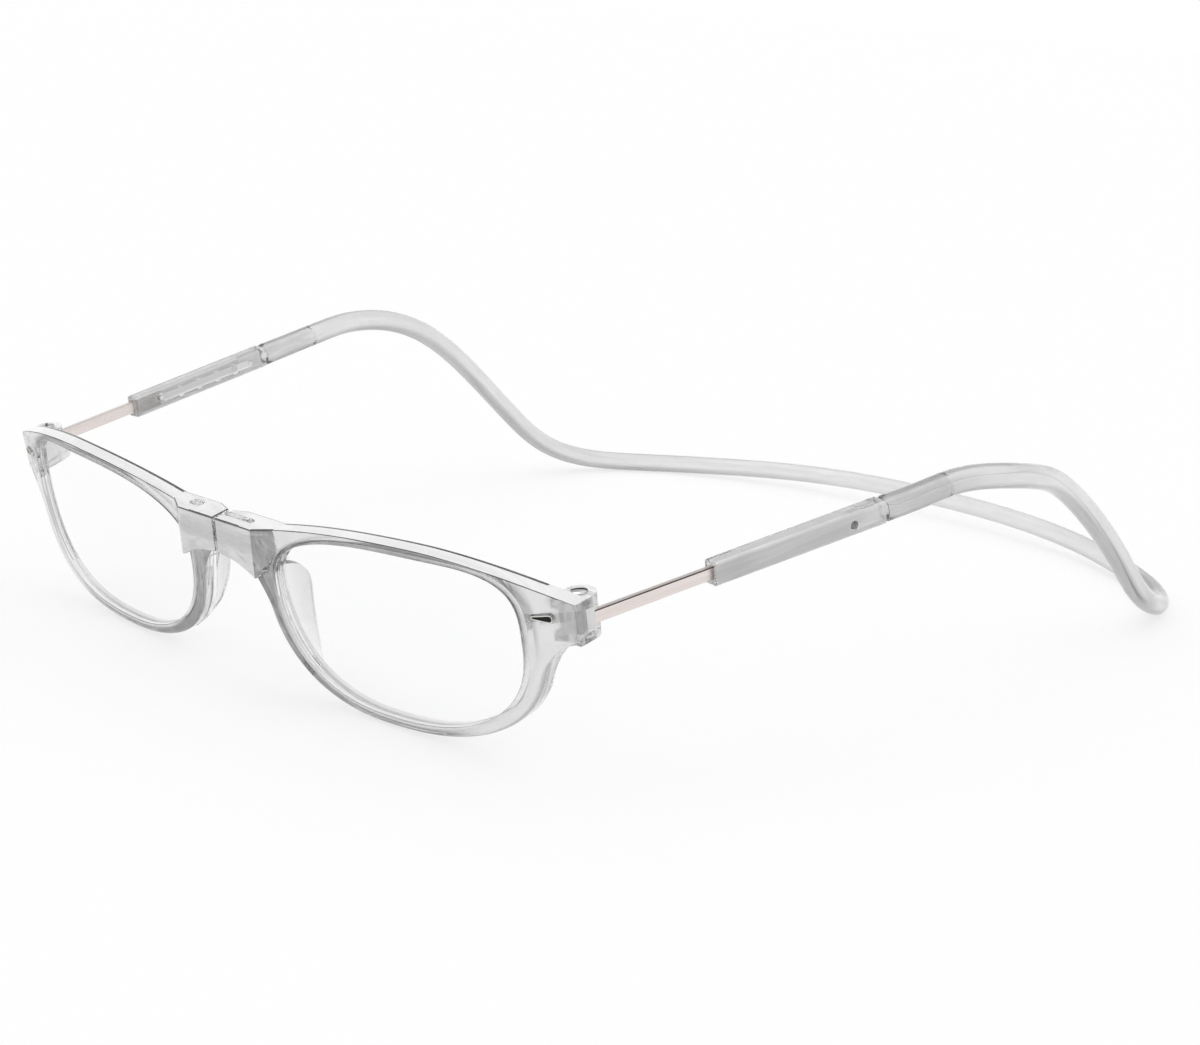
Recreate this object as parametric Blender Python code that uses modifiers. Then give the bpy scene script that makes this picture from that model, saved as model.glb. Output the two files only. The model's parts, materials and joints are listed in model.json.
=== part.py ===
"""Magnetic front-closing reading glasses on a one-piece neck band.

Wearer's frame: +X to the wearer's left, -Y forward, +Z up, X = 0 at the bridge seam and
Z = 0 at the top of the bridge block.  The whole object hangs under one empty that pitches it
until the two rims and the nape of the band stand on the plane Z = 0.
"""
import math

import bmesh
import bpy
import numpy as np
from mathutils import Matrix, Vector

MM = 0.001

# --- fits -------------------------------------------------------------------------------------
GAP = 0.3 * MM                # between pieces that bear on each other
FINE_GAP = 0.15 * MM          # round small inlaid pieces
SEAM_GAP = 0.5 * MM           # between the two bridge faces

# --- widths, from the seam plane outwards ------------------------------------------------------
FRONT_HALF_WIDTH = 69.0 * MM  # to the outer edge of the endpiece
ENDPIECE_WIDTH = 8.6 * MM     # lens opening to the outer edge
HINGE_INSET = 2.5 * MM        # hinge axis to the outer edge
RIVET_INSET = 4.8 * MM        # rivet centre to the outer edge

# --- lens opening (front edge), one side ------------------------------------------------------
OPENING_NOSE_X = 11.0 * MM    # nearest point to the seam
OPENING_TEMPLE_X = FRONT_HALF_WIDTH - ENDPIECE_WIDTH
OPENING_WAIST_Z = -9.6 * MM   # height of the widest points
OPENING_TOP_Z = 1.4 * MM
OPENING_BOTTOM_Z = -27.4 * MM
TOP_SHARE = 0.648             # where the top is highest, from the nose side to the temple side
BOTTOM_SHARE = 0.445          # where the bottom is lowest
OPENING_WIDTH = OPENING_TEMPLE_X - OPENING_NOSE_X
OPENING_TOP_X = OPENING_NOSE_X + TOP_SHARE * OPENING_WIDTH
OPENING_BOTTOM_X = OPENING_NOSE_X + BOTTOM_SHARE * OPENING_WIDTH
ROUND_TOP_NOSE = 2.4          # superellipse exponents of the four quarters
ROUND_TOP_TEMPLE = 3.4
ROUND_LOW_TEMPLE = 2.5
ROUND_LOW_NOSE = 2.34

# --- rim --------------------------------------------------------------------------------------
RIM_DEPTH = 3.0 * MM          # front to back
RIM_BOTTOM = 1.8 * MM         # face width under the opening
RIM_TEMPLE = 3.2 * MM         # face width low on the temple side
RIM_NOSE = 3.0 * MM           # face width low on the nose side
RIM_EDGE = 0.4 * MM           # edge rounding
BROW_Z = 2.95 * MM            # highest point of the top line
BROW_SHARE = 0.6275           # where it is highest, from the nose side to the temple side
BROW_X = OPENING_NOSE_X + BROW_SHARE * OPENING_WIDTH
BROW_SEAM_Z = -3.2 * MM       # the line carried on to the seam, inside the block
BROW_END_Z = -2.45 * MM       # at the outer edge of the endpiece
NOSE_TURN_Z = -15.2 * MM      # the nose arch meets the rim's curve here
TEMPLE_TURN_Z = -16.0 * MM    # the rim's curve turns out towards the endpiece here
ARCH_REACH = 4.0 * MM         # handles of the curves between block, rim and endpiece
FLARE_REACH = 2.2 * MM
FLARE_RUN = 4.0 * MM
FLARE_SAG = 0.5 * MM
WRAP_DEPTH = 5.1 * MM         # how far the face is swept back at WRAP_X
WRAP_SHARE = 0.8696
WRAP_X = FRONT_HALF_WIDTH * WRAP_SHARE
WRAP_POWER = 3.6
GROOVE_DEPTH = 0.8 * MM
GROOVE_WIDTH = 1.5 * MM
LENS_EDGE = 0.9 * MM          # lens thickness at its rim
LENS_CROWN = 0.7 * MM         # extra bulge of the lens front at its middle
LENS_BACK_SHARE = 0.4         # the back bulges this much of it, so the lens magnifies

# --- bridge block -----------------------------------------------------------------------------
BRIDGE_HEIGHT = 6.0 * MM
BRIDGE_FRONT_Y = -1.85 * MM   # front of the block at its top edge
BRIDGE_LEAN = 0.5 * MM        # how much further forward its lower edge lies
BRIDGE_BACK_Y = 2.9 * MM
SEAM_BACK_Y = 1.9 * MM        # back of the block at the seam
SEAM_BACK_X = 3.5 * MM        # where it has reached BRIDGE_BACK_Y
BRIDGE_FLAT_X = 9.2 * MM      # end of its flat front
BRIDGE_RAMP_X = 13.3 * MM     # where its side ramp has sunk into the rim
BRIDGE_EDGE = 0.35 * MM
ARCH_DROP = 2.5 * MM          # drop of its lower edge from the seam to the end of the flat
RAMP_MIDDLE_Z = -5.6 * MM     # lower edge half way along the ramp
RAMP_END_Z = -3.0 * MM
RAMP_SINK = 0.5 * MM          # the ramp's end lies this far under the rim's face
SEAM_DRAFT = 0.3 * MM         # each seam face recedes this much from front to back
CORE_INSET = 0.3 * MM         # the rim's core lies this far inside the block
CORE_START_X = 0.5 * MM       # seam face to the start of the rim's core

# --- magnets ----------------------------------------------------------------------------------
MAGNET_DIAMETER = 3.0 * MM
MAGNET_LENGTH = 8.6 * MM
MAGNET_INSET = 0.3 * MM       # its face lies this far inside the seam face
MAGNET_Z = -3.4 * MM
PLUG_DEPTH = 0.8 * MM         # covers let into the top of the block
LEFT_PLUG_LENGTH = 6.6 * MM   # a long pill
LEFT_PLUG_WIDTH = 1.0 * MM
LEFT_PLUG_X = 4.0 * MM
LEFT_PLUG_Y = 0.5 * MM
RIGHT_PLUG_LENGTH = 2.7 * MM  # a short oval
RIGHT_PLUG_WIDTH = 1.5 * MM
RIGHT_PLUG_X = 7.3 * MM
RIGHT_PLUG_Y = 0.8 * MM

# --- endpiece and hinge -----------------------------------------------------------------------
ENDPIECE_BOTTOM_Z = -8.8 * MM
HINGE_X = FRONT_HALF_WIDTH - HINGE_INSET
HINGE_Y = 12.2 * MM
KNUCKLE_RADIUS = 2.6 * MM
KNUCKLE_TOP_Z = -2.5 * MM
KNUCKLE_BOTTOM_Z = -9.3 * MM
KNUCKLE_HEIGHT = 1.5 * MM
SCREW_DIAMETER = 1.4 * MM
SCREW_HEAD_DIAMETER = 2.6 * MM
SCREW_HEAD_HEIGHT = 0.45 * MM
SCREW_SLOT = 0.4 * MM
SCREW_CLEARANCE = 0.1 * MM    # under its head
SCREW_SHORTFALL = 0.2 * MM    # its foot stops this far inside the lower knuckle
SCREW_EDGE = 0.12 * MM
EYE_RELIEF = 0.05 * MM        # the strip's eye is this much smaller than the knuckles
RIVET_LENGTH = 3.5 * MM
RIVET_HEIGHT = 1.3 * MM
RIVET_TIP_HEIGHT = 0.6 * MM
RIVET_PROUD = 0.35 * MM
RIVET_SEAT = 0.6 * MM
RIVET_EDGE = 0.18 * MM
RIVET_X = FRONT_HALF_WIDTH - RIVET_INSET
RIVET_Z = -4.8 * MM

# --- nose pad ---------------------------------------------------------------------------------
PAD_TOP_Z = -7.4 * MM
PAD_BOTTOM_Z = -24.6 * MM
PAD_ROOT = 1.2 * MM           # how deep it is rooted in the rim
PAD_REACH = 4.4 * MM          # how far the wing stands behind the rim
PAD_FLARE = 1.5 * MM          # how far its back edge leans away from the nose
PAD_THICKNESS = 1.5 * MM
PAD_INSET = 1.35 * MM         # its root runs this far inside the rim, off the lens opening
PAD_EDGE = 0.42 * MM
PAD_TAPER = 0.985             # how nearly the wing shrinks to nothing at its two ends
PAD_HIGH_SHARE = 0.28         # it is deepest this far down from its top end
PAD_HIGH_POWER = 2.4          # how full it stays above that
PAD_LOW_POWER = 1.5           # and below
PAD_CURL = 1.3

# --- arm: strip, click stud and sleeve --------------------------------------------------------
ARM_SPLAY = math.radians(8.54)    # outward
ARM_SLOPE = math.radians(4.11)    # downward to the back
ARM_OFFSET = 2.1 * MM             # arm line outboard of the hinge axis
ARM_Z = -5.95 * MM                # arm line's height at the hinge
STRIP_HEIGHT = 2.1 * MM
STRIP_THICKNESS = 1.0 * MM
SLEEVE_START = 22.9 * MM      # hinge to sleeve front, along the arm
SLEEVE_LENGTH = 36.0 * MM
SLEEVE_HEIGHT = 4.1 * MM
SLEEVE_FRONT_WIDTH = 2.8 * MM
SLEEVE_REAR_WIDTH = 3.3 * MM
SLEEVE_EDGE = 0.7 * MM        # rounding of its four long edges
SLEEVE_END_SHARE = 0.35       # its two ends are rounded this much of that
NOTCHES = 5
NOTCH_PITCH = 5.1 * MM
NOTCH_START = 6.4 * MM        # sleeve front to the first notch
NOTCH_DIAMETER = 2.2 * MM
SLOT_WIDTH = 1.5 * MM
SLOT_TAIL = 5.2 * MM          # slot length behind the last notch
STUD_DIAMETER = 1.0 * MM
STUD_HEIGHT = 0.6 * MM
STUD_SHANK = 0.6 * MM
STRIP_TAIL = 1.0 * MM         # strip behind the stud
PIN_DIAMETER = 1.3 * MM
PIN_LENGTH = 0.55 * MM
PIN_BACK = 7.2 * MM           # pin centre ahead of the sleeve's rear end
PIN_DROP = 0.2 * MM
PIN_RECESS = 0.05 * MM        # its head lies this far under the sleeve's face
SPIGOT_DIAMETER = 3.0 * MM
SPIGOT_LENGTH = 15.0 * MM

# --- neck band --------------------------------------------------------------------------------
BAND_START_DIAMETER = 4.5 * MM
BAND_NAPE_DIAMETER = 4.0 * MM
BAND_STRAIGHT = 18.3 * MM     # straight part round the spigot
BAND_STEP = 4.2 * MM          # spacing of the tube's sections
EAR_SPREAD = 15.8 * MM        # how much wider the band is over the ear than the hinges
CROWN_Y = 110.0 * MM          # the free band sags at its left crown and springs up at its right
CROWN_REACH = 22.0 * MM
LEFT_CROWN_LIFT = -1.5 * MM
RIGHT_CROWN_LIFT = 0.85 * MM
EAR_HALF_WIDTH = HINGE_X + EAR_SPREAD
BAND_DEPTH = 194.1 * MM       # bridge plane to the middle of the nape
BAND_DROP = 73.7 * MM         # bridge top down to the middle of the nape
# centre line of the left half from the crown over the ear to the nape:
# shares of the ear's half width, the band's depth and its drop
BAND_ROUTE = [
    (1.000, 0.5126, 0.1845),
    (0.995, 0.5580, 0.2252),
    (0.981, 0.5951, 0.2795),
    (0.971, 0.6337, 0.3704),
    (0.972, 0.6749, 0.4993),
    (0.972, 0.7161, 0.6459),
    (0.960, 0.7604, 0.7897),
    (0.926, 0.8166, 0.8928),
    (0.832, 0.8789, 0.9512),
    (0.678, 0.9304, 0.9796),
    (0.468, 0.9727, 0.9946),
    (0.231, 0.9943, 0.9986),
    (0.000, 1.0000, 1.0000),
]
NAPE = Vector((0.0, BAND_DEPTH, -BAND_DROP))

# --- facets -----------------------------------------------------------------------------------
RIM_STATIONS = 72
ROUND_SIDES = 20
TUBE_SIDES_RESOLUTION = 2


# ---------------------------------------------------------------------------------------------
# scene helpers
# ---------------------------------------------------------------------------------------------
for old in list(bpy.data.objects):
    bpy.data.objects.remove(old, do_unlink=True)

parts = bpy.data.collections.new("magnetic_reading_glasses")
bpy.context.scene.collection.children.link(parts)


def material(name, colour, roughness, metallic=0.0, alpha=1.0):
    made = bpy.data.materials.new(name)
    made.use_nodes = True
    shader = made.node_tree.nodes["Principled BSDF"]
    shader.inputs["Base Color"].default_value = (*colour, 1.0)
    shader.inputs["Roughness"].default_value = roughness
    shader.inputs["Metallic"].default_value = metallic
    shader.inputs["Alpha"].default_value = alpha
    made.diffuse_color = (*colour, alpha)
    return made


CLEAR = (0.86, 0.87, 0.88)
STEEL = (0.62, 0.62, 0.63)
CHAMPAGNE = (0.80, 0.70, 0.66)


def empty(name, location, rotation, parent=None):
    made = bpy.data.objects.new(name, None)
    made.empty_display_size = 5 * MM
    made.location = location
    made.rotation_euler = rotation
    made.parent = parent
    parts.objects.link(made)
    return made


def mesh_object(name, verts, faces):
    mesh = bpy.data.meshes.new(name)
    mesh.from_pydata([tuple(v) for v in verts], [], faces)
    made = bpy.data.objects.new(name, mesh)
    bpy.context.scene.collection.objects.link(made)
    bm = bmesh.new()
    bm.from_mesh(mesh)
    bmesh.ops.recalc_face_normals(bm, faces=bm.faces)
    bm.to_mesh(mesh)
    bm.free()
    return made


def baked(obj):
    """The object with its modifiers applied and its transform moved into the mesh."""
    bpy.context.view_layer.update()
    graph = bpy.context.evaluated_depsgraph_get()
    mesh = bpy.data.meshes.new_from_object(obj.evaluated_get(graph))
    mesh.transform(obj.matrix_world)
    bm = bmesh.new()
    bm.from_mesh(mesh)
    bmesh.ops.remove_doubles(bm, verts=bm.verts, dist=1e-7)
    bmesh.ops.recalc_face_normals(bm, faces=bm.faces)
    bm.to_mesh(mesh)
    bm.free()
    made = bpy.data.objects.new(obj.name, mesh)
    bpy.data.objects.remove(obj, do_unlink=True)
    bpy.context.scene.collection.objects.link(made)
    return made


def combine(target, tools, operation, solver="EXACT"):
    """One Boolean after another; the tools are used up."""
    for tool in tools:
        step = target.modifiers.new("cut", "BOOLEAN")
        step.operation = operation
        step.object = tool
        step.solver = solver
        target = baked(target)
        bpy.data.objects.remove(tool, do_unlink=True)
    return target


def bevelled(obj, width, segments=2, angle=30):
    step = obj.modifiers.new("edge", "BEVEL")
    step.width = width
    step.segments = segments
    step.limit_method = "ANGLE"
    step.angle_limit = math.radians(angle)
    return baked(obj)


def cylinder(name, radius, start, end, sides=ROUND_SIDES):
    """A round bar between two points."""
    start = Vector(start)
    end = Vector(end)
    bpy.ops.mesh.primitive_cylinder_add(vertices=sides, radius=radius, depth=(end - start).length)
    made = bpy.context.object
    made.name = name
    made.rotation_mode = "QUATERNION"
    made.rotation_quaternion = (end - start).to_track_quat("Z", "Y")
    made.location = (start + end) / 2
    return baked(made)


def block(name, low, high):
    low = Vector(low)
    high = Vector(high)
    bpy.ops.mesh.primitive_cube_add(size=1.0)
    made = bpy.context.object
    made.name = name
    made.scale = high - low
    made.location = (low + high) / 2
    return baked(made)


def turned(name, profile, sides=ROUND_SIDES):
    """A profile of (radius, height) pairs, top to bottom, turned about Z."""
    mesh = bpy.data.meshes.new(name)
    mesh.from_pydata([(r, 0.0, z) for r, z in profile], [(i, i + 1) for i in range(len(profile) - 1)], [])
    made = bpy.data.objects.new(name, mesh)
    bpy.context.scene.collection.objects.link(made)
    step = made.modifiers.new("turn", "SCREW")
    step.axis = "Z"
    step.steps = sides
    step.render_steps = sides
    step.use_merge_vertices = True
    step.merge_threshold = 0.00001
    step.use_normal_calculate = True
    return baked(made)


def outline_plate(name, points, thickness):
    """A flat outline of (x, y) points made thick along Z, centred on Z = 0."""
    curve = bpy.data.curves.new(name, "CURVE")
    curve.dimensions = "2D"
    curve.fill_mode = "BOTH"
    curve.extrude = thickness / 2
    spline = curve.splines.new("POLY")
    spline.points.add(len(points) - 1)
    for point, (x, y) in zip(spline.points, points):
        point.co = (x, y, 0.0, 1.0)
    spline.use_cyclic_u = True
    made = bpy.data.objects.new(name, curve)
    bpy.context.scene.collection.objects.link(made)
    return baked(made)


def moved(obj, matrix):
    obj.data.transform(matrix)
    return obj


def mirrored(obj, name):
    """A copy reflected in X with its faces turned right side out."""
    mesh = obj.data.copy()
    mesh.transform(Matrix.Scale(-1.0, 4, Vector((1.0, 0.0, 0.0))))
    mesh.flip_normals()
    made = bpy.data.objects.new(name, mesh)
    bpy.context.scene.collection.objects.link(made)
    return made


def finish(obj, name, parent, look, origin=Vector((0.0, 0.0, 0.0))):
    """Names a piece, hangs it on its empty and gives it its own material."""
    for collection in list(obj.users_collection):
        collection.objects.unlink(obj)
    parts.objects.link(obj)
    obj.name = name
    obj.data.name = name
    obj.data.transform(Matrix.Translation(-origin))
    obj.parent = parent
    obj.data.materials.clear()
    obj.data.materials.append(material(name, *look))
    obj.data.shade_smooth()
    obj.data.set_sharp_from_angle(angle=math.radians(32))
    return obj


# ---------------------------------------------------------------------------------------------
# outlines of the front
# ---------------------------------------------------------------------------------------------
def sweep_back(x):
    """How far the face lies behind the bridge plane at this distance from the seam."""
    return WRAP_DEPTH * (abs(x) / WRAP_X) ** WRAP_POWER


def quarter(centre, reach, exponent, start, count):
    """A quarter superellipse: start 0..3 counts quarters from +X counter-clockwise."""
    points = []
    for i in range(count):
        angle = (start + i / count) * math.pi / 2
        c = math.cos(angle)
        s = math.sin(angle)
        x = centre[0] + reach[0] * math.copysign(abs(c) ** (2 / exponent), c)
        z = centre[1] + reach[1] * math.copysign(abs(s) ** (2 / exponent), s)
        points.append((x, z))
    return points


def opening_outline(grow=0.0, count=60):
    """The lens opening, counter-clockwise from its temple side, grown outwards."""
    up = OPENING_TOP_Z - OPENING_WAIST_Z + grow
    down = OPENING_WAIST_Z - OPENING_BOTTOM_Z + grow
    quarters = [
        (OPENING_TOP_X, OPENING_TEMPLE_X - OPENING_TOP_X, up, ROUND_TOP_TEMPLE),
        (OPENING_TOP_X, OPENING_TOP_X - OPENING_NOSE_X, up, ROUND_TOP_NOSE),
        (OPENING_BOTTOM_X, OPENING_BOTTOM_X - OPENING_NOSE_X, down, ROUND_LOW_NOSE),
        (OPENING_BOTTOM_X, OPENING_TEMPLE_X - OPENING_BOTTOM_X, down, ROUND_LOW_TEMPLE),
    ]
    points = []
    for start, (x, across, height, exponent) in enumerate(quarters):
        points += quarter((x, OPENING_WAIST_Z), (across + grow, height), exponent, start, count)
    return points


def bezier(a, b, c, d, count=14):
    points = []
    for i in range(count + 1):
        t = i / count
        k = (1 - t) ** 3, 3 * t * (1 - t) ** 2, 3 * t * t * (1 - t), t ** 3
        points.append(tuple(sum(w * p[j] for w, p in zip(k, (a, b, c, d))) for j in (0, 1)))
    return points


def brow_z(x):
    if x > BROW_X:
        return BROW_Z - (BROW_Z - BROW_END_Z) * ((x - BROW_X) / (FRONT_HALF_WIDTH - BROW_X)) ** 2
    return BROW_Z - (BROW_Z - BROW_SEAM_Z) * ((x - BROW_X) / BROW_X) ** 2


SEAM_X = SEAM_GAP / 2
CORE_X = SEAM_X + CORE_START_X


def face_outline():
    """Outer outline of the face, counter-clockwise from the endpiece's lower corner, and the
    points of its tight curve under the endpiece."""
    corner_low = (FRONT_HALF_WIDTH, ENDPIECE_BOTTOM_Z)
    corner_top = (FRONT_HALF_WIDTH, brow_z(FRONT_HALF_WIDTH))
    points = [corner_low, corner_top]
    top_x = np.linspace(FRONT_HALF_WIDTH, CORE_X, 46)[1:]
    points += [(x, brow_z(x)) for x in top_x]
    core_low = (CORE_X, -BRIDGE_HEIGHT + BRIDGE_EDGE)
    drop = OPENING_WAIST_Z - OPENING_BOTTOM_Z + RIM_BOTTOM
    lowest = (OPENING_BOTTOM_X, OPENING_WAIST_Z)
    nose_reach = OPENING_BOTTOM_X - OPENING_NOSE_X + RIM_NOSE
    nose = quarter(lowest, (nose_reach, drop), ROUND_LOW_NOSE, 2, 40)
    temple_reach = OPENING_TEMPLE_X - OPENING_BOTTOM_X + RIM_TEMPLE
    temple = quarter(lowest, (temple_reach, drop), ROUND_LOW_TEMPLE, 3, 40)
    nose = nose[next(i for i, p in enumerate(nose) if p[1] < NOSE_TURN_Z):]
    temple = temple[:next(i for i, p in enumerate(temple) if p[1] > TEMPLE_TURN_Z)]
    into = (Vector(nose[1]) - Vector(nose[0])).normalized()
    arch = bezier(core_low, (core_low[0] + ARCH_REACH, core_low[1]),
                  tuple(Vector(nose[0]) - into * ARCH_REACH), nose[0])
    out = (Vector(temple[-1]) - Vector(temple[-2])).normalized()
    flare = bezier(temple[-1], tuple(Vector(temple[-1]) + out * FLARE_REACH),
                   (corner_low[0] - FLARE_RUN, corner_low[1] - FLARE_SAG), corner_low)
    return points + arch[:-1] + nose + temple[:-1] + flare[:-1], flare[1:-1:2]


FACE_CENTRE = ((OPENING_NOSE_X + OPENING_TEMPLE_X) / 2, (OPENING_TOP_Z + OPENING_BOTTOM_Z) / 2)


def ray_length(outline, angle):
    """Distance from the face centre to a closed outline in one direction."""
    centre = np.array(FACE_CENTRE)
    ahead = np.array([math.cos(angle), math.sin(angle)])
    start = np.array(outline)
    side = np.roll(start, -1, axis=0) - start
    away = start - centre
    cross = ahead[0] * side[:, 1] - ahead[1] * side[:, 0]
    cross[np.abs(cross) < 1e-15] = 1e-15
    along = (away[:, 0] * side[:, 1] - away[:, 1] * side[:, 0]) / cross
    on_side = (away[:, 0] * ahead[1] - away[:, 1] * ahead[0]) / cross
    hit = (along > 0) & (on_side >= -1e-9) & (on_side <= 1 + 1e-9)
    return float(along[hit].max())


def station_angles(corners, extra):
    """Even directions round the face centre, with the nearest moved onto each corner, and
    extra directions where the outline bends tightly."""
    angles = [2 * math.pi * i / RIM_STATIONS for i in range(RIM_STATIONS)]
    for x, z in corners:
        exact = math.atan2(z - FACE_CENTRE[1], x - FACE_CENTRE[0]) % (2 * math.pi)
        nearest = min(range(RIM_STATIONS), key=lambda i: abs(angles[i] - exact))
        angles[nearest] = exact
    apart = math.pi / RIM_STATIONS / 3
    for x, z in extra:
        exact = math.atan2(z - FACE_CENTRE[1], x - FACE_CENTRE[0]) % (2 * math.pi)
        if min(abs(a - exact) for a in angles) > apart:
            angles.append(exact)
    return sorted(angles)


def bridge_back(x):
    """Back of the bridge block: it falls away towards the seam."""
    share = min(1.0, max(0.0, (x - SEAM_X) / (SEAM_BACK_X - SEAM_X)))
    return SEAM_BACK_Y + (BRIDGE_BACK_Y - SEAM_BACK_Y) * share


def core_depth(x):
    """Front-to-back depth of the rim, thinner where it runs inside the bridge block."""
    inside = bridge_back(x) - CORE_INSET
    share = min(1.0, max(0.0, (x - SEAM_BACK_X) / (OPENING_NOSE_X - CORE_INSET - SEAM_BACK_X)))
    return inside + (RIM_DEPTH - inside) * share


def ring_loft(name, rings):
    """Joins closed rings of equal length, each to the next and the last to the first."""
    count = len(rings[0])
    verts = [p for ring in rings for p in ring]
    faces = []
    for r in range(len(rings)):
        a = r * count
        b = ((r + 1) % len(rings)) * count
        for i in range(count):
            j = (i + 1) % count
            faces.append((a + i, a + j, b + j, b + i))
    return mesh_object(name, verts, faces)


def rim():
    opening = opening_outline()
    face, tight = face_outline()
    corners = [(FRONT_HALF_WIDTH, ENDPIECE_BOTTOM_Z), (FRONT_HALF_WIDTH, brow_z(FRONT_HALF_WIDTH)),
               (CORE_X, brow_z(CORE_X)), (CORE_X, -BRIDGE_HEIGHT + BRIDGE_EDGE)]
    groove = (RIM_DEPTH - GROOVE_WIDTH) / 2
    edge = RIM_EDGE
    rings = []
    for angle in station_angles(corners, tight):
        inner = ray_length(opening, angle)
        width = ray_length(face, angle) - inner
        dx = math.cos(angle)
        dz = math.sin(angle)
        section = [(edge, 0, 0), (width / 3, 0, 0), (width * 2 / 3, 0, 0), (width - edge, 0, 0),
                   (width, 0, edge), (width, 1, -edge), (width - edge, 1, 0),
                   (width * 2 / 3, 1, 0), (width / 3, 1, 0), (edge, 1, 0), (0, 1, -edge),
                   (0, 0, groove + GROOVE_WIDTH), (GROOVE_DEPTH, 0, groove + GROOVE_WIDTH),
                   (GROOVE_DEPTH, 0, groove), (0, 0, groove), (0, 0, edge)]
        ring = []
        for along, back, extra in section:
            x = FACE_CENTRE[0] + dx * (inner + along)
            z = FACE_CENTRE[1] + dz * (inner + along)
            ring.append((x, sweep_back(x) + back * core_depth(x) + extra, z))
        rings.append(ring)
    return ring_loft("rim", rings)


def lens():
    """A lens whose edge stands in the groove of its rim."""
    edge_y = (RIM_DEPTH - LENS_EDGE) / 2
    grow = GROOVE_DEPTH - GAP
    outline = opening_outline()
    count = RIM_STATIONS
    shares = (1.0, 0.93, 0.75, 0.5, 0.25)
    front = []
    back = []
    for share in shares:
        ring_front = []
        ring_back = []
        for i in range(count):
            angle = 2 * math.pi * i / count
            full = ray_length(outline, angle) + grow
            x = FACE_CENTRE[0] + math.cos(angle) * full * share
            z = FACE_CENTRE[1] + math.sin(angle) * full * share
            bulge = LENS_CROWN * (1 - share ** 2)
            ring_front.append((x, sweep_back(x) + edge_y - bulge, z))
            ring_back.append((x, sweep_back(x) + edge_y + LENS_EDGE - bulge * LENS_BACK_SHARE, z))
        front.append(ring_front)
        back.append(ring_back)
    rings = list(reversed(front)) + back
    verts = [p for ring in rings for p in ring]
    faces = []
    for r in range(len(rings) - 1):
        for i in range(count):
            j = (i + 1) % count
            faces.append((r * count + i, r * count + j, (r + 1) * count + j, (r + 1) * count + i))
    front_middle = edge_y - LENS_CROWN
    back_middle = edge_y + LENS_EDGE - LENS_CROWN * LENS_BACK_SHARE
    for first, centre_y in ((0, front_middle), ((len(rings) - 1) * count, back_middle)):
        verts.append((FACE_CENTRE[0], sweep_back(FACE_CENTRE[0]) + centre_y, FACE_CENTRE[1]))
        hub = len(verts) - 1
        for i in range(count):
            faces.append((first + i, first + (i + 1) % count, hub))
    return mesh_object("lens", verts, faces)


def bridge_block():
    """The thick block at the seam, a loft of four-cornered sections along X."""
    columns = []
    for x in (SEAM_X, SEAM_BACK_X, *np.linspace(SEAM_BACK_X, BRIDGE_FLAT_X, 4)[1:]):
        columns.append((x, -BRIDGE_HEIGHT - ARCH_DROP * (x / BRIDGE_FLAT_X) ** 2))
    columns.append(((BRIDGE_FLAT_X + BRIDGE_RAMP_X) / 2, RAMP_MIDDLE_Z))
    columns.append((BRIDGE_RAMP_X, RAMP_END_Z))
    verts = []
    for x, bottom in columns:
        share = max(0.0, (x - BRIDGE_FLAT_X) / (BRIDGE_RAMP_X - BRIDGE_FLAT_X))
        front = BRIDGE_FRONT_Y + share * (RAMP_SINK - BRIDGE_FRONT_Y)
        lean = BRIDGE_LEAN * -bottom / BRIDGE_HEIGHT * (1 - share)
        back = bridge_back(x)
        draft = SEAM_DRAFT if x == SEAM_X else 0.0
        verts += [(x, front, 0.0), (x, front - lean, bottom)]
        verts += [(x + draft, back, bottom), (x + draft, back, 0.0)]
    faces = [(0, 1, 2, 3), tuple(len(verts) - 4 + i for i in (3, 2, 1, 0))]
    for c in range(len(columns) - 1):
        for i in range(4):
            j = (i + 1) % 4
            faces.append((c * 4 + i, c * 4 + j, c * 4 + 4 + j, c * 4 + 4 + i))
    made = mesh_object("bridge", verts, faces)
    return bevelled(made, BRIDGE_EDGE, 2, 35)


def stadium(name, z_low, z_high, radius):
    """A knuckle: a round plate about the hinge axis with an arm into the endpiece."""
    front = sweep_back(HINGE_X) + RIM_DEPTH / 2
    points = [(HINGE_X + radius * math.cos(a), HINGE_Y + radius * math.sin(a))
              for a in np.linspace(0.0, math.pi, 15)]
    points += [(HINGE_X - radius, front), (HINGE_X + radius, front)]
    made = outline_plate(name, points, z_high - z_low)
    return moved(made, Matrix.Translation((0.0, 0.0, (z_low + z_high) / 2)))


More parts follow.
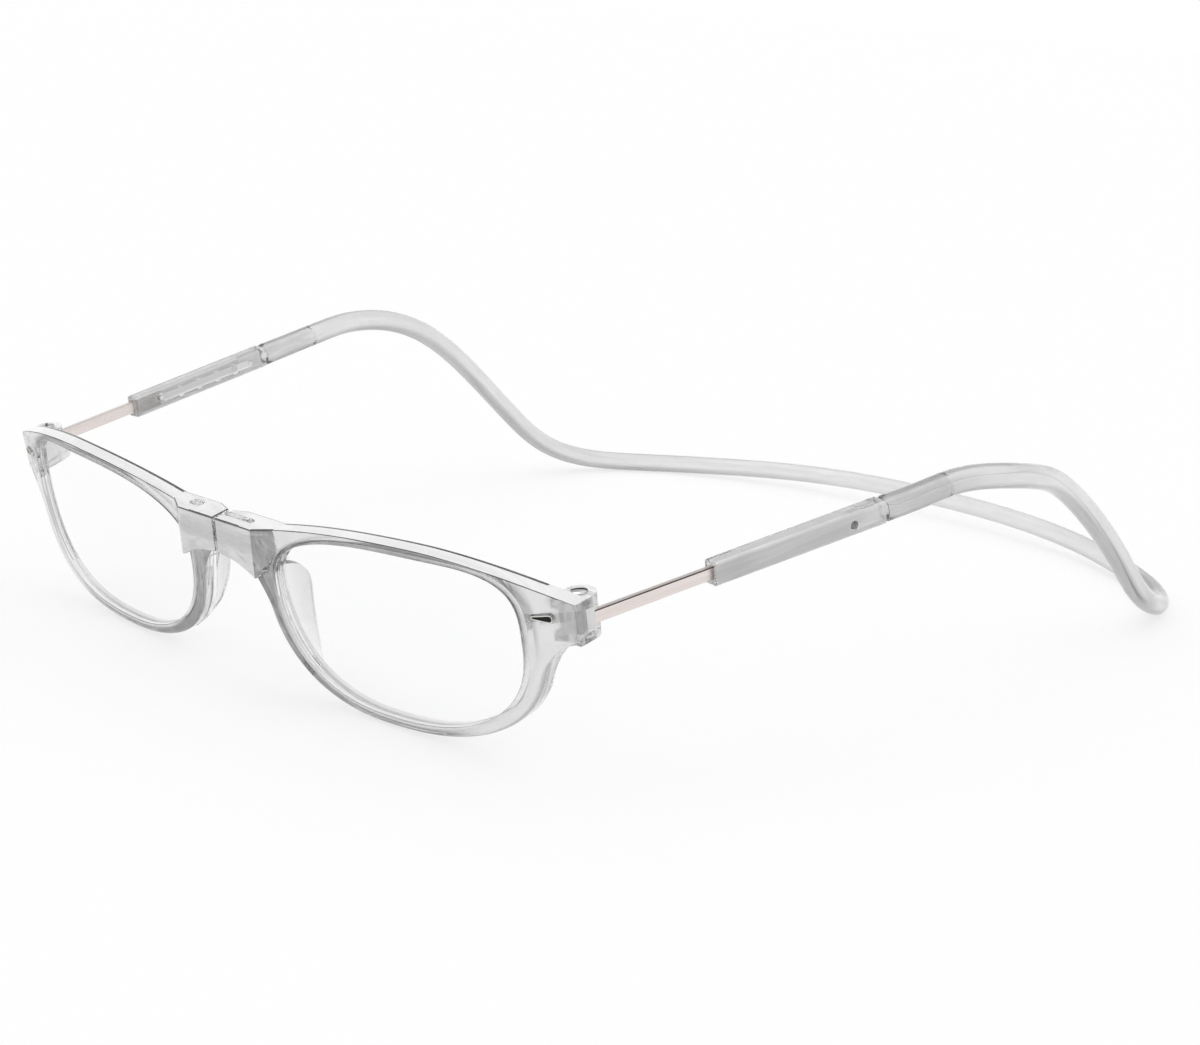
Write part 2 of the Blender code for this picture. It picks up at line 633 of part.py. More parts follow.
def nose_pad():
    """A wing behind the nose side of the rim, a bent sheet given thickness."""
    rows = 11
    steps = 6
    centre_z = (PAD_TOP_Z + PAD_BOTTOM_Z) / 2
    half = (PAD_TOP_Z - PAD_BOTTOM_Z) / 2
    verts = []
    for r in range(rows):
        v = -1 + 2 * r / (rows - 1)
        z = centre_z + half * v
        down = (1 - v) / 2
        if down < PAD_HIGH_SHARE:
            thinned = ((PAD_HIGH_SHARE - down) / PAD_HIGH_SHARE) ** PAD_HIGH_POWER
        else:
            thinned = ((down - PAD_HIGH_SHARE) / (1 - PAD_HIGH_SHARE)) ** PAD_LOW_POWER
        fullness = (1 - PAD_TAPER * thinned) ** 0.5
        fall = abs(min(0.0, z - OPENING_WAIST_Z)) / (OPENING_WAIST_Z - OPENING_BOTTOM_Z + RIM_BOTTOM)
        inward = max(0.0, 1 - fall ** ROUND_LOW_NOSE) ** (1 / ROUND_LOW_NOSE)
        root_x = OPENING_BOTTOM_X - (OPENING_BOTTOM_X - OPENING_NOSE_X + PAD_INSET) * inward
        for s in range(steps):
            u = s / (steps - 1)
            y = RIM_DEPTH - PAD_ROOT + (PAD_REACH + PAD_ROOT) * u * fullness
            x = root_x + PAD_FLARE * (u * fullness) ** PAD_CURL
            verts.append((x, y, z))
    faces = []
    for r in range(rows - 1):
        for s in range(steps - 1):
            a = r * steps + s
            faces.append((a, a + 1, a + steps + 1, a + steps))
    made = mesh_object("pad", verts, faces)
    step = made.modifiers.new("thickness", "SOLIDIFY")
    step.thickness = PAD_THICKNESS
    step.offset = 0.0
    step.use_even_offset = True
    made = baked(made)
    return bevelled(made, PAD_EDGE, 1, 50)


def rivet_outline(grow=0.0):
    """A drop: a narrow tip towards the lens and a full round end outboard."""
    tip = RIVET_TIP_HEIGHT / 2 + grow
    full = RIVET_HEIGHT / 2 + grow
    left = -RIVET_LENGTH / 2 + RIVET_TIP_HEIGHT / 2
    right = RIVET_LENGTH / 2 - RIVET_HEIGHT / 2
    points = [(left + tip * math.cos(a), tip * math.sin(a))
              for a in np.linspace(math.pi / 2, math.pi * 1.5, 7)]
    points += [(right + full * math.cos(a), full * math.sin(a))
               for a in np.linspace(-math.pi / 2, math.pi / 2, 9)]
    return points


def rivet_frame():
    """Stands on the face at the rivet, Z out of the face and X outboard."""
    slope = (sweep_back(RIVET_X + 0.5 * MM) - sweep_back(RIVET_X - 0.5 * MM)) / MM
    turn = math.atan(slope)
    place = Matrix.Translation((RIVET_X, sweep_back(RIVET_X), RIVET_Z))
    return place @ Matrix.Rotation(turn, 4, "Z") @ Matrix.Rotation(math.pi / 2, 4, "X")


def rivet():
    height = RIVET_PROUD + RIVET_SEAT - FINE_GAP
    made = outline_plate("rivet", rivet_outline(), height)
    made = moved(made, Matrix.Translation((0.0, 0.0, RIVET_PROUD - height / 2)))
    made = bevelled(made, RIVET_EDGE, 1, 60)
    return moved(made, rivet_frame())


def rivet_pocket():
    made = outline_plate("pocket", rivet_outline(FINE_GAP), RIVET_SEAT * 2)
    return moved(made, rivet_frame())


def pill(length, width, count=8):
    """A slot outline with round ends, along X."""
    run = (length - width) / 2
    radius = width / 2
    points = [(run + radius * math.cos(a), radius * math.sin(a))
              for a in np.linspace(-math.pi / 2, math.pi / 2, count)]
    points += [(-run + radius * math.cos(a), radius * math.sin(a))
               for a in np.linspace(math.pi / 2, math.pi * 1.5, count)]
    return points


def plug(place, size):
    made = outline_plate("plug", pill(*size), PLUG_DEPTH)
    return moved(made, Matrix.Translation((*place, -PLUG_DEPTH / 2)))


def plug_pocket(place, size):
    made = outline_plate("pocket", pill(*(s + 2 * FINE_GAP for s in size)), 2 * (PLUG_DEPTH + FINE_GAP))
    return moved(made, Matrix.Translation((*place, 0.0)))


MAGNET_Y = (BRIDGE_FRONT_Y + SEAM_BACK_Y - BRIDGE_LEAN * MAGNET_Z / -BRIDGE_HEIGHT) / 2
MAGNET_END = SEAM_X + MAGNET_INSET + MAGNET_LENGTH


def magnet():
    return cylinder("magnet", MAGNET_DIAMETER / 2, (SEAM_X + MAGNET_INSET, MAGNET_Y, MAGNET_Z),
                    (MAGNET_END, MAGNET_Y, MAGNET_Z))


def magnet_socket():
    return cylinder("socket", MAGNET_DIAMETER / 2 + FINE_GAP, (-SEAM_X, MAGNET_Y, MAGNET_Z),
                    (MAGNET_END + FINE_GAP, MAGNET_Y, MAGNET_Z))


def front_half(plug_place, plug_size):
    """Rim, bridge block, endpiece, knuckles and nose wing as one moulding."""
    body = combine(rim(), [bridge_block()], "UNION")
    half = KNUCKLE_HEIGHT / 2
    eye_room = cylinder("room", KNUCKLE_RADIUS + GAP, (HINGE_X, HINGE_Y, KNUCKLE_BOTTOM_Z + half),
                        (HINGE_X, HINGE_Y, KNUCKLE_TOP_Z - half), 32)
    body = combine(body, [eye_room], "DIFFERENCE")
    knuckles = [stadium("knuckle", KNUCKLE_TOP_Z - KNUCKLE_HEIGHT, KNUCKLE_TOP_Z, KNUCKLE_RADIUS),
                stadium("knuckle", KNUCKLE_BOTTOM_Z, KNUCKLE_BOTTOM_Z + KNUCKLE_HEIGHT, KNUCKLE_RADIUS)]
    body = combine(body, knuckles + [nose_pad()], "UNION")
    bore = cylinder("bore", SCREW_DIAMETER / 2 + GAP, (HINGE_X, HINGE_Y, KNUCKLE_BOTTOM_Z - half),
                    (HINGE_X, HINGE_Y, KNUCKLE_TOP_Z + half))
    cutters = [bore, magnet_socket(), plug_pocket(plug_place, plug_size), rivet_pocket()]
    return combine(body, cutters, "DIFFERENCE")


def hinge_screw():
    head = SCREW_HEAD_DIAMETER / 2
    shank = SCREW_DIAMETER / 2
    seat = KNUCKLE_TOP_Z + SCREW_CLEARANCE
    top = seat + SCREW_HEAD_HEIGHT
    low = KNUCKLE_BOTTOM_Z + SCREW_SHORTFALL
    profile = [(0.0, top), (head - SCREW_EDGE, top), (head, top - SCREW_EDGE), (head, seat),
               (shank, seat), (shank, low), (0.0, low)]
    body = turned("screw", profile)
    slot = block("slot", (-head - MM, -SCREW_SLOT / 2, top - SCREW_HEAD_HEIGHT / 2),
                 (head + MM, SCREW_SLOT / 2, top + MM))
    body = combine(body, [slot], "DIFFERENCE")
    return moved(body, Matrix.Translation((HINGE_X, HINGE_Y, 0.0)))


# ---------------------------------------------------------------------------------------------
# arm, in its own frame: +Y to the rear along the arm, X = 0 on the arm line
# ---------------------------------------------------------------------------------------------
STUD_Y = SLEEVE_START + NOTCH_START
SLOT_END = STUD_Y + NOTCH_PITCH * (NOTCHES - 1) + SLOT_TAIL
TRAVEL = NOTCH_PITCH * (NOTCHES - 1)
CHANNEL_END = STUD_Y + STRIP_TAIL + TRAVEL + 2 * GAP
SLEEVE_END = SLEEVE_START + SLEEVE_LENGTH


def sleeve_half_width(y):
    share = (y - SLEEVE_START) / SLEEVE_LENGTH
    return (SLEEVE_FRONT_WIDTH + (SLEEVE_REAR_WIDTH - SLEEVE_FRONT_WIDTH) * share) / 2


def temple_strip(arm):
    """The flat metal strip with its hinge eye; the eye stands square to the hinge axis."""
    half = STRIP_THICKNESS / 2
    tail = STUD_Y + STRIP_TAIL
    strip = block("strip", (-half, 0.0, -STRIP_HEIGHT / 2), (half, tail, STRIP_HEIGHT / 2))
    stud_hole = cylinder("hole", STUD_SHANK / 2 + FINE_GAP, (-MM, STUD_Y, 0.0), (MM, STUD_Y, 0.0), 14)
    strip = combine(strip, [stud_hole], "DIFFERENCE")
    low = KNUCKLE_BOTTOM_Z + KNUCKLE_HEIGHT + GAP
    high = KNUCKLE_TOP_Z - KNUCKLE_HEIGHT - GAP
    eye = cylinder("eye", KNUCKLE_RADIUS - EYE_RELIEF, (HINGE_X, HINGE_Y, low),
                   (HINGE_X, HINGE_Y, high), 28)
    bore = cylinder("bore", SCREW_DIAMETER / 2 + GAP, (HINGE_X, HINGE_Y, low - MM),
                    (HINGE_X, HINGE_Y, high + MM))
    to_arm = arm.inverted()
    strip = combine(strip, [moved(eye, to_arm)], "UNION")
    return combine(strip, [moved(bore, to_arm)], "DIFFERENCE")


def click_stud():
    half = STRIP_THICKNESS / 2
    head = half + FINE_GAP + STUD_HEIGHT
    profile = [(0.0, head), (STUD_DIAMETER / 2, head), (STUD_DIAMETER / 2, half + FINE_GAP),
               (STUD_SHANK / 2, half + FINE_GAP), (STUD_SHANK / 2, -half), (0.0, -half)]
    made = turned("stud", profile, 16)
    made = moved(made, Matrix.Rotation(-math.pi / 2, 4, "Y"))
    return moved(made, Matrix.Translation((0.0, STUD_Y, 0.0)))


def notched_slot():
    """The cutter for the inner slot: a straight slot with a round notch at every click."""
    depth = SLEEVE_REAR_WIDTH
    inner = -(STRIP_THICKNESS + GAP) / 2
    wide = NOTCH_DIAMETER / 2
    narrow = SLOT_WIDTH / 2
    meet = math.asin(narrow / wide)
    upper = []
    for i in range(NOTCHES):
        centre = STUD_Y + i * NOTCH_PITCH
        start = math.pi if i == 0 else math.pi - meet
        upper += [(centre + wide * math.cos(a), wide * math.sin(a)) for a in np.linspace(start, meet, 7)]
    end = SLOT_END - narrow
    upper += [(end + narrow * math.cos(a), narrow * math.sin(a)) for a in np.linspace(math.pi / 2, 0.0, 6)]
    lower = [(y, -z) for y, z in reversed(upper[1:-1])]
    body = outline_plate("slot", upper + lower, depth)
    to_side = Matrix.Rotation(math.pi / 2, 4, "Z") @ Matrix.Rotation(math.pi / 2, 4, "X")
    return moved(body, Matrix.Translation((inner - depth / 2, 0.0, 0.0)) @ to_side)


def sleeve():
    front = sleeve_half_width(SLEEVE_START)
    rear = sleeve_half_width(SLEEVE_END)
    tall = SLEEVE_HEIGHT / 2
    verts = []
    for y, wide in ((SLEEVE_START, front), (SLEEVE_END, rear)):
        verts += [(-wide, y, -tall), (wide, y, -tall), (wide, y, tall), (-wide, y, tall)]
    faces = [(0, 1, 2, 3), (7, 6, 5, 4)]
    faces += [(i, (i + 1) % 4, (i + 1) % 4 + 4, i + 4) for i in range(4)]
    body = mesh_object("sleeve", verts, faces)
    lengthwise = body.data.attributes.new("bevel_weight_edge", "FLOAT", "EDGE")
    for edge in body.data.edges:
        a = body.data.vertices[edge.vertices[0]].co
        b = body.data.vertices[edge.vertices[1]].co
        lengthwise.data[edge.index].value = 1.0 if abs(a.y - b.y) > MM else SLEEVE_END_SHARE
    step = body.modifiers.new("edge", "BEVEL")
    step.width = SLEEVE_EDGE
    step.segments = 3
    step.limit_method = "WEIGHT"
    body = baked(body)
    spigot = cylinder("spigot", SPIGOT_DIAMETER / 2, (0.0, SLEEVE_END - MM, 0.0),
                      (0.0, SLEEVE_END + SPIGOT_LENGTH, 0.0), 16)
    body = combine(body, [spigot], "UNION")
    half_x = STRIP_THICKNESS / 2 + GAP
    half_z = STRIP_HEIGHT / 2 + GAP
    channel = block("channel", (-half_x, SLEEVE_START - MM, -half_z), (half_x, CHANNEL_END, half_z))
    pin_y = SLEEVE_END - PIN_BACK
    outer = sleeve_half_width(pin_y)
    pin_room = cylinder("room", PIN_DIAMETER / 2 + FINE_GAP, (outer - PIN_LENGTH, pin_y, -PIN_DROP),
                        (outer + MM, pin_y, -PIN_DROP), 16)
    return combine(body, [channel, notched_slot(), pin_room], "DIFFERENCE", "MANIFOLD")


def sleeve_pin():
    pin_y = SLEEVE_END - PIN_BACK
    outer = sleeve_half_width(pin_y)
    start = outer - PIN_LENGTH + FINE_GAP
    return cylinder("pin", PIN_DIAMETER / 2, (start, pin_y, -PIN_DROP),
                    (outer - PIN_RECESS, pin_y, -PIN_DROP), 16)


# ---------------------------------------------------------------------------------------------
# neck band
# ---------------------------------------------------------------------------------------------
def smooth_through(points, step):
    """A natural cubic curve through the points, read at even steps."""
    points = np.array(points)
    knots = np.concatenate([[0.0], np.cumsum(np.linalg.norm(np.diff(points, axis=0), axis=1))])
    n = len(points)
    h = np.diff(knots)
    system = np.zeros((n, n))
    right = np.zeros((n, 3))
    system[0, 0] = 1.0
    system[-1, -1] = 1.0
    for i in range(1, n - 1):
        system[i, i - 1] = h[i - 1]
        system[i, i] = 2 * (h[i - 1] + h[i])
        system[i, i + 1] = h[i]
        right[i] = 6 * ((points[i + 1] - points[i]) / h[i] - (points[i] - points[i - 1]) / h[i - 1])
    bend = np.linalg.solve(system, right)
    count = max(2, round(knots[-1] / step))
    out = []
    for s in np.linspace(0.0, knots[-1], count + 1):
        i = min(n - 2, int(np.searchsorted(knots, s, side="right")) - 1)
        a = (knots[i + 1] - s) / h[i]
        b = (s - knots[i]) / h[i]
        curve = ((a ** 3 - a) * bend[i] + (b ** 3 - b) * bend[i + 1]) * h[i] ** 2 / 6
        out.append(a * points[i] + b * points[i + 1] + curve)
    return out


def side_route(arm, side, lift):
    """Centre line of one side, from its sleeve to the nape."""
    flip = np.array([side, 1.0, 1.0])
    lead = [np.array(arm @ Vector((0.0, SLEEVE_END + GAP + d, 0.0))) * flip
            for d in (0.0, BAND_STRAIGHT / 2, BAND_STRAIGHT)]
    route = []
    for across, back, down in BAND_ROUTE:
        y = back * BAND_DEPTH
        near = min(1.0, abs(y - CROWN_Y) / CROWN_REACH)
        rise = lift * math.cos(near * math.pi / 2) ** 2
        route.append(np.array((side * across * EAR_HALF_WIDTH, y, rise - down * BAND_DROP)))
    return lead + route


def band_line(arm):
    """Centre line of the whole band, from the left sleeve round the nape to the right one."""
    left = side_route(arm, 1, LEFT_CROWN_LIFT)
    right = side_route(arm, -1, RIGHT_CROWN_LIFT)
    return smooth_through(left + right[-2::-1], BAND_STEP)


def neck_band(arm):
    line = band_line(arm)
    curve = bpy.data.curves.new("band", "CURVE")
    curve.dimensions = "3D"
    curve.bevel_depth = BAND_START_DIAMETER / 2
    curve.bevel_resolution = TUBE_SIDES_RESOLUTION
    curve.use_fill_caps = True
    curve.resolution_u = 1
    spline = curve.splines.new("POLY")
    spline.points.add(len(line) - 1)
    for i, (point, place) in enumerate(zip(spline.points, line)):
        point.co = (*place, 1.0)
        from_end = 1 - abs(2 * i / (len(line) - 1) - 1)
        taper = from_end * (1 - BAND_NAPE_DIAMETER / BAND_START_DIAMETER)
        point.radius = 1 - taper
    made = bpy.data.objects.new("band", curve)
    bpy.context.scene.collection.objects.link(made)
    made = baked(made)
    start = SLEEVE_END - MM
    end = SLEEVE_END + SPIGOT_LENGTH + GAP
    sockets = []
    for side in (1, -1):
        socket = cylinder("socket", SPIGOT_DIAMETER / 2 + GAP, (0.0, start, 0.0), (0.0, end, 0.0), 16)
        moved(socket, arm)
        if side < 0:
            moved(socket, Matrix.Scale(-1.0, 4, Vector((1.0, 0.0, 0.0))))
            socket.data.flip_normals()
        sockets.append(socket)
    return combine(made, sockets, "DIFFERENCE")


# ---------------------------------------------------------------------------------------------
# assembly
# ---------------------------------------------------------------------------------------------
def arm_matrix(side):
    turn = Matrix.Rotation(-side * ARM_SPLAY, 4, "Z") @ Matrix.Rotation(-ARM_SLOPE, 4, "X")
    return Matrix.Translation((side * (HINGE_X + ARM_OFFSET), HINGE_Y, ARM_Z)) @ turn


CLEAR_LOOK = (CLEAR, 0.08, 0.0, 0.45)
LENS_LOOK = ((0.97, 0.98, 0.98), 0.02, 0.0, 0.15)
STEEL_LOOK = (STEEL, 0.22, 1.0)
STRIP_LOOK = (CHAMPAGNE, 0.3, 1.0)
MAGNET_LOOK = ((0.66, 0.66, 0.68), 0.35, 1.0)
TRIM_LOOK = ((0.70, 0.69, 0.67), 0.15, 1.0)

rest = empty("rest_frame", (0.0, 0.0, 0.0), (0.0, 0.0, 0.0))
left_arm = arm_matrix(1)
nape = empty("band_flex_axis", NAPE, (0.0, 0.0, 0.0), rest)

plugs = {
    1: ((LEFT_PLUG_X, LEFT_PLUG_Y), (LEFT_PLUG_LENGTH, LEFT_PLUG_WIDTH)),
    -1: ((RIGHT_PLUG_X, RIGHT_PLUG_Y), (RIGHT_PLUG_LENGTH, RIGHT_PLUG_WIDTH)),
}
for side, word in ((1, "left"), (-1, "right")):
    arm = arm_matrix(side)
    slide = empty(word + "_slide_axis", arm.to_translation(), arm.to_euler(), rest)
    fold_at = Vector((side * HINGE_X, HINGE_Y, ARM_Z))
    fold = empty(word + "_fold_axis", fold_at, (0.0, 0.0, 0.0), rest)

    def both(made, name):
        return made if side > 0 else mirrored(made, name)

    fronts = [
        ("front_half", front_half(*plugs[side]), CLEAR_LOOK),
        ("lens", lens(), LENS_LOOK),
        ("magnet", magnet(), MAGNET_LOOK),
        ("magnet_plug", plug(*plugs[side]), CLEAR_LOOK),
        ("trim_rivet", rivet(), TRIM_LOOK),
        ("hinge_screw", hinge_screw(), STEEL_LOOK),
    ]
    arms = [
        ("temple_strip", temple_strip(left_arm), STRIP_LOOK),
        ("click_stud", click_stud(), STEEL_LOOK),
        ("sleeve", sleeve(), CLEAR_LOOK),
        ("sleeve_pin", sleeve_pin(), STEEL_LOOK),
    ]
    for group, parent, origin in ((fronts, fold, fold_at), (arms, slide, Vector((0.0, 0.0, 0.0)))):
        for kind, made, look in group:
            name = word + "_" + kind
            piece = both(made, name)
            finish(piece, name, parent, look, origin)
            if piece is not made:
                bpy.data.objects.remove(made, do_unlink=True)

finish(neck_band(left_arm), "neck_band", nape, CLEAR_LOOK, NAPE)


def world_points(obj):
    world = obj.matrix_world
    return np.array([world @ v.co for v in obj.data.vertices])


def seat_on_plane():
    """Pitches the glasses about X until rims and band touch one plane, then sets them on Z = 0."""
    bpy.context.view_layer.update()
    rims = world_points(bpy.data.objects["left_front_half"])
    band = world_points(bpy.data.objects["neck_band"])
    low = 0.0
    high = math.radians(40)
    for _ in range(60):
        pitch = (low + high) / 2
        lift = rims[:, 1] * math.sin(pitch) + rims[:, 2] * math.cos(pitch)
        drop = band[:, 1] * math.sin(pitch) + band[:, 2] * math.cos(pitch)
        if drop.min() < lift.min():
            low = pitch
        else:
            high = pitch
    rest.rotation_euler = (pitch, 0.0, 0.0)
    bpy.context.view_layer.update()
    every = np.vstack([world_points(o) for o in parts.objects if o.type == "MESH"])
    middle = (every.min(axis=0) + every.max(axis=0)) / 2
    rest.location = (-middle[0], -middle[1], -every[:, 2].min())
    bpy.context.view_layer.update()


seat_on_plane()
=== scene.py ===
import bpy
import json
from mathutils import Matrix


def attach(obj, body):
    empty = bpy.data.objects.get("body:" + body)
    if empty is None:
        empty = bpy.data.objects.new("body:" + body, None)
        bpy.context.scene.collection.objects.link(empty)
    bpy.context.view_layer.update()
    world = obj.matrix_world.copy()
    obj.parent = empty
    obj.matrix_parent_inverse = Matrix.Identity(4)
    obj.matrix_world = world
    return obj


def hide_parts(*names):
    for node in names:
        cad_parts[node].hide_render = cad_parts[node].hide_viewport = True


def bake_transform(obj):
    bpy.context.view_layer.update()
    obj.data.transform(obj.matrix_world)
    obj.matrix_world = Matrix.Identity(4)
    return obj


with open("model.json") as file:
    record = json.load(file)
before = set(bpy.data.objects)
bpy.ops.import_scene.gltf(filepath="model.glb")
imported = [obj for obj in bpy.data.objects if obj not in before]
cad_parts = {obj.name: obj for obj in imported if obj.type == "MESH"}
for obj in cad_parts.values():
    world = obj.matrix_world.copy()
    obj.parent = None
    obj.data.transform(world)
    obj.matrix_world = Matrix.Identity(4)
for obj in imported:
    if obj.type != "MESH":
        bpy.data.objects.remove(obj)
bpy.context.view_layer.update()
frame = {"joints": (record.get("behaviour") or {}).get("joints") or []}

import functools
import json
import math

import bmesh
import bpy
import numpy as np
from mathutils import Matrix, Vector

MM = 0.001
MICRON = 0.001 * MM
WELD = 0.0001 * MM            # points closer than this are one
QUARTER = math.pi / 2

# --- sizes, in the wearer's frame ---
# +X to the wearer's left, -Y forward, +Z up, X = 0 at the seam and Z = 0 at the bridge's top
GAP = 0.3 * MM                # between pieces that bear on each other
FINE_GAP = 0.15 * MM          # round small inlaid pieces
SEAM_GAP = 0.5 * MM
FINE_EDGE = 0.12 * MM         # rounding of small pieces
SMALL_EDGE = 0.14 * MM
PLAIN_EDGE = 0.16 * MM

FRONT_HALF_WIDTH = 69.0 * MM
OPENING_NOSE_X = 11.0 * MM
OPENING_TEMPLE_X = 60.4 * MM
OPENING_WAIST_Z = -9.6 * MM   # height of its widest points
OPENING_TOP_Z = 1.4 * MM
OPENING_BOTTOM_Z = -27.4 * MM
OPENING_TOP_X = 43.0 * MM
OPENING_BOTTOM_X = 33.0 * MM
ROUND_TOP_NOSE = 2.4          # superellipse exponents of the opening's four quarters
ROUND_TOP_TEMPLE = 3.4
ROUND_LOW_TEMPLE = 2.5
ROUND_LOW_NOSE = 2.34

RIM_DEPTH = 3.0 * MM
RIM_BOTTOM = 1.73 * MM        # face width under the opening
RIM_TEMPLE = 3.2 * MM
RIM_NOSE = 3.0 * MM
BROW_Z = 2.95 * MM
BROW_X = 42.0 * MM
BROW_SEAM_Z = -3.2 * MM       # the brow's line carried on to the seam, inside the block
BROW_END_Z = -2.45 * MM
NOSE_TURN_Z = -15.2 * MM      # the nose arch meets the rim's curve here
TEMPLE_TURN_Z = -16.0 * MM    # the rim's curve turns out towards the endpiece here
ARCH_REACH = 4.0 * MM         # handles of the curves between block, rim and endpiece
FLARE_REACH = 2.2 * MM
FLARE_RUN = 4.0 * MM
FLARE_SAG = 0.5 * MM
WRAP_DEPTH = 5.1 * MM         # how far the face is swept back at WRAP_X
WRAP_X = 60.0 * MM
WRAP_POWER = 3.6
GROOVE_DEPTH = 0.8 * MM
GROOVE_WIDTH = 1.5 * MM
LENS_EDGE = 0.9 * MM
LENS_CROWN = 0.7 * MM
LENS_BACK_SHARE = 0.4
LENS_RINGS = (1.0, 0.999, 0.97, 0.92, 0.85, 0.77, 0.68, 0.58, 0.48, 0.38, 0.28, 0.18, 0.09)
TOP_EDGE = 0.22 * MM          # rounding of the rim's front outer edge along the brow
LOW_EDGE = 0.8 * MM           # and round its lower side
EDGE_TURN = 9.5 * MM, 15 * MM # depths below the bridge's top between which it grows
BACK_EDGE = 0.4 * MM
OPENING_EDGE = 0.18 * MM
REAR_LINE = 0.35 * MM         # painted dark reflection along the rear of the brow's top
FRONT_SHARES = 0.36, 0.6      # extra section points across the rim's front and back
BACK_SHARES = 0.66, 0.4

BRIDGE_HEIGHT = 6.0 * MM
BRIDGE_FRONT_Y = -1.835 * MM
BRIDGE_LEAN = 0.5 * MM
BRIDGE_BACK_Y = 2.9 * MM
SEAM_BACK_Y = 1.9 * MM
SEAM_BACK_X = 3.5 * MM
BRIDGE_FLAT_X = 9.2 * MM      # end of its flat front
BRIDGE_RAMP_X = 13.3 * MM     # where its side ramp has sunk into the rim
BRIDGE_EDGE = 0.3 * MM
ARCH_DROP = 2.5 * MM
RAMP_MIDDLE_Z = -5.6 * MM
RAMP_END_Z = -3.0 * MM
RAMP_SINK = 0.5 * MM
SEAM_DRAFT = 0.3 * MM
CORE_INSET = 0.3 * MM         # the rim's core lies this far inside the block
CORE_START_X = 0.5 * MM

MAGNET_DIAMETER = 3.0 * MM
MAGNET_LENGTH = 8.6 * MM
MAGNET_INSET = 0.3 * MM
MAGNET_Z = -3.4 * MM
PLUG_DEPTH = 0.8 * MM
PLUG_EDGE = 0.07 * MM
LEFT_PLUG = (4.0 * MM, 0.5 * MM), (6.6 * MM, 1.0 * MM)     # place, then length and width
RIGHT_PLUG = (7.3 * MM, 0.8 * MM), (2.7 * MM, 1.5 * MM)

ENDPIECE_BOTTOM_Z = -8.8 * MM
HINGE_X = 66.5 * MM
HINGE_Y = 12.2 * MM
KNUCKLE_RADIUS = 2.6 * MM
KNUCKLE_TOP_Z = -2.5 * MM
KNUCKLE_BOTTOM_Z = -9.3 * MM
KNUCKLE_HEIGHT = 1.5 * MM
SCREW_DIAMETER = 1.4 * MM
SCREW_HEAD_DIAMETER = 2.6 * MM
SCREW_HEAD_HEIGHT = 0.45 * MM
SCREW_HEAD_ROUND = 0.24 * MM  # height of the head's rounded shoulder
SCREW_DOME = 0.28 * MM
SCREW_DOME_TURN = 1.15        # how far round the dome runs, in radians
SCREW_SLOT = 0.4 * MM
SCREW_SLOT_SHARE = 0.55       # of the head's height
SCREW_SLOT_TURN = math.radians(35)
SCREW_CLEARANCE = 0.1 * MM    # under its head
SCREW_SHORTFALL = 0.2 * MM    # its foot stops this far inside the lower knuckle
RIVET_LENGTH = 3.5 * MM
RIVET_HEIGHT = 1.3 * MM
RIVET_TIP_HEIGHT = 0.6 * MM
RIVET_PROUD = 0.35 * MM
RIVET_SEAT = 0.6 * MM
RIVET_BORDER = 0.17 * MM      # width of the raised border round the dish
DISH_DEPTH = 0.08 * MM
DISH_CUTTER = 0.5 * MM        # thickness of what cuts it
DISH_EDGE = 0.06 * MM
RIVET_X = 64.2 * MM
RIVET_Z = -4.8 * MM

PAD_TOP_Z = -7.4 * MM
PAD_BOTTOM_Z = -24.6 * MM
PAD_ROOT = 1.2 * MM
PAD_REACH = 4.4 * MM          # how far the wing stands behind the rim
PAD_FLARE = 1.5 * MM
PAD_THICKNESS = 1.5 * MM
PAD_EDGE = 0.6 * MM
PAD_INSET = 1.35 * MM
PAD_TAPER = 0.985
PAD_HIGH_SHARE = 0.28         # it is deepest this far down from its top end
PAD_HIGH_POWER = 2.4          # how full it stays above that
PAD_LOW_POWER = 1.5           # and below
PAD_CURL = 1.3
PAD_ROWS = 61
PAD_COLUMNS = 26

ARM_SPLAY = math.radians(8.54)
ARM_SLOPE = math.radians(4.11)
ARM_OFFSET = 2.1 * MM
ARM_Z = -5.95 * MM
STRIP_HEIGHT = 2.1 * MM
STRIP_THICKNESS = 1.0 * MM
EYE_RELIEF = 0.05 * MM        # the strip's eye is this much smaller than the knuckles
SLEEVE_START = 22.9 * MM
SLEEVE_LENGTH = 36.0 * MM
SLEEVE_HEIGHT = 4.1 * MM
SLEEVE_FRONT_WIDTH = 2.8 * MM
SLEEVE_REAR_WIDTH = 3.3 * MM
SLEEVE_EDGE = 0.7 * MM
SLEEVE_END_SHARE = 0.35       # its two ends are rounded this much of that
NOTCHES = 5
NOTCH_PITCH = 5.1 * MM
NOTCH_START = 6.4 * MM
NOTCH_DIAMETER = 2.2 * MM
SLOT_WIDTH = 1.5 * MM
SLOT_TAIL = 5.2 * MM
STUD_DIAMETER = 1.0 * MM
STUD_HEIGHT = 0.6 * MM
STUD_SHANK = 0.6 * MM
STRIP_TAIL = 1.0 * MM
PIN_DIAMETER = 1.3 * MM
PIN_LENGTH = 0.55 * MM
PIN_BACK = 7.2 * MM
PIN_DROP = 0.2 * MM
PIN_RECESS = 0.05 * MM
SPIGOT_DIAMETER = 3.0 * MM
SPIGOT_LENGTH = 15.0 * MM
SPIGOT_EDGE = 0.3 * MM

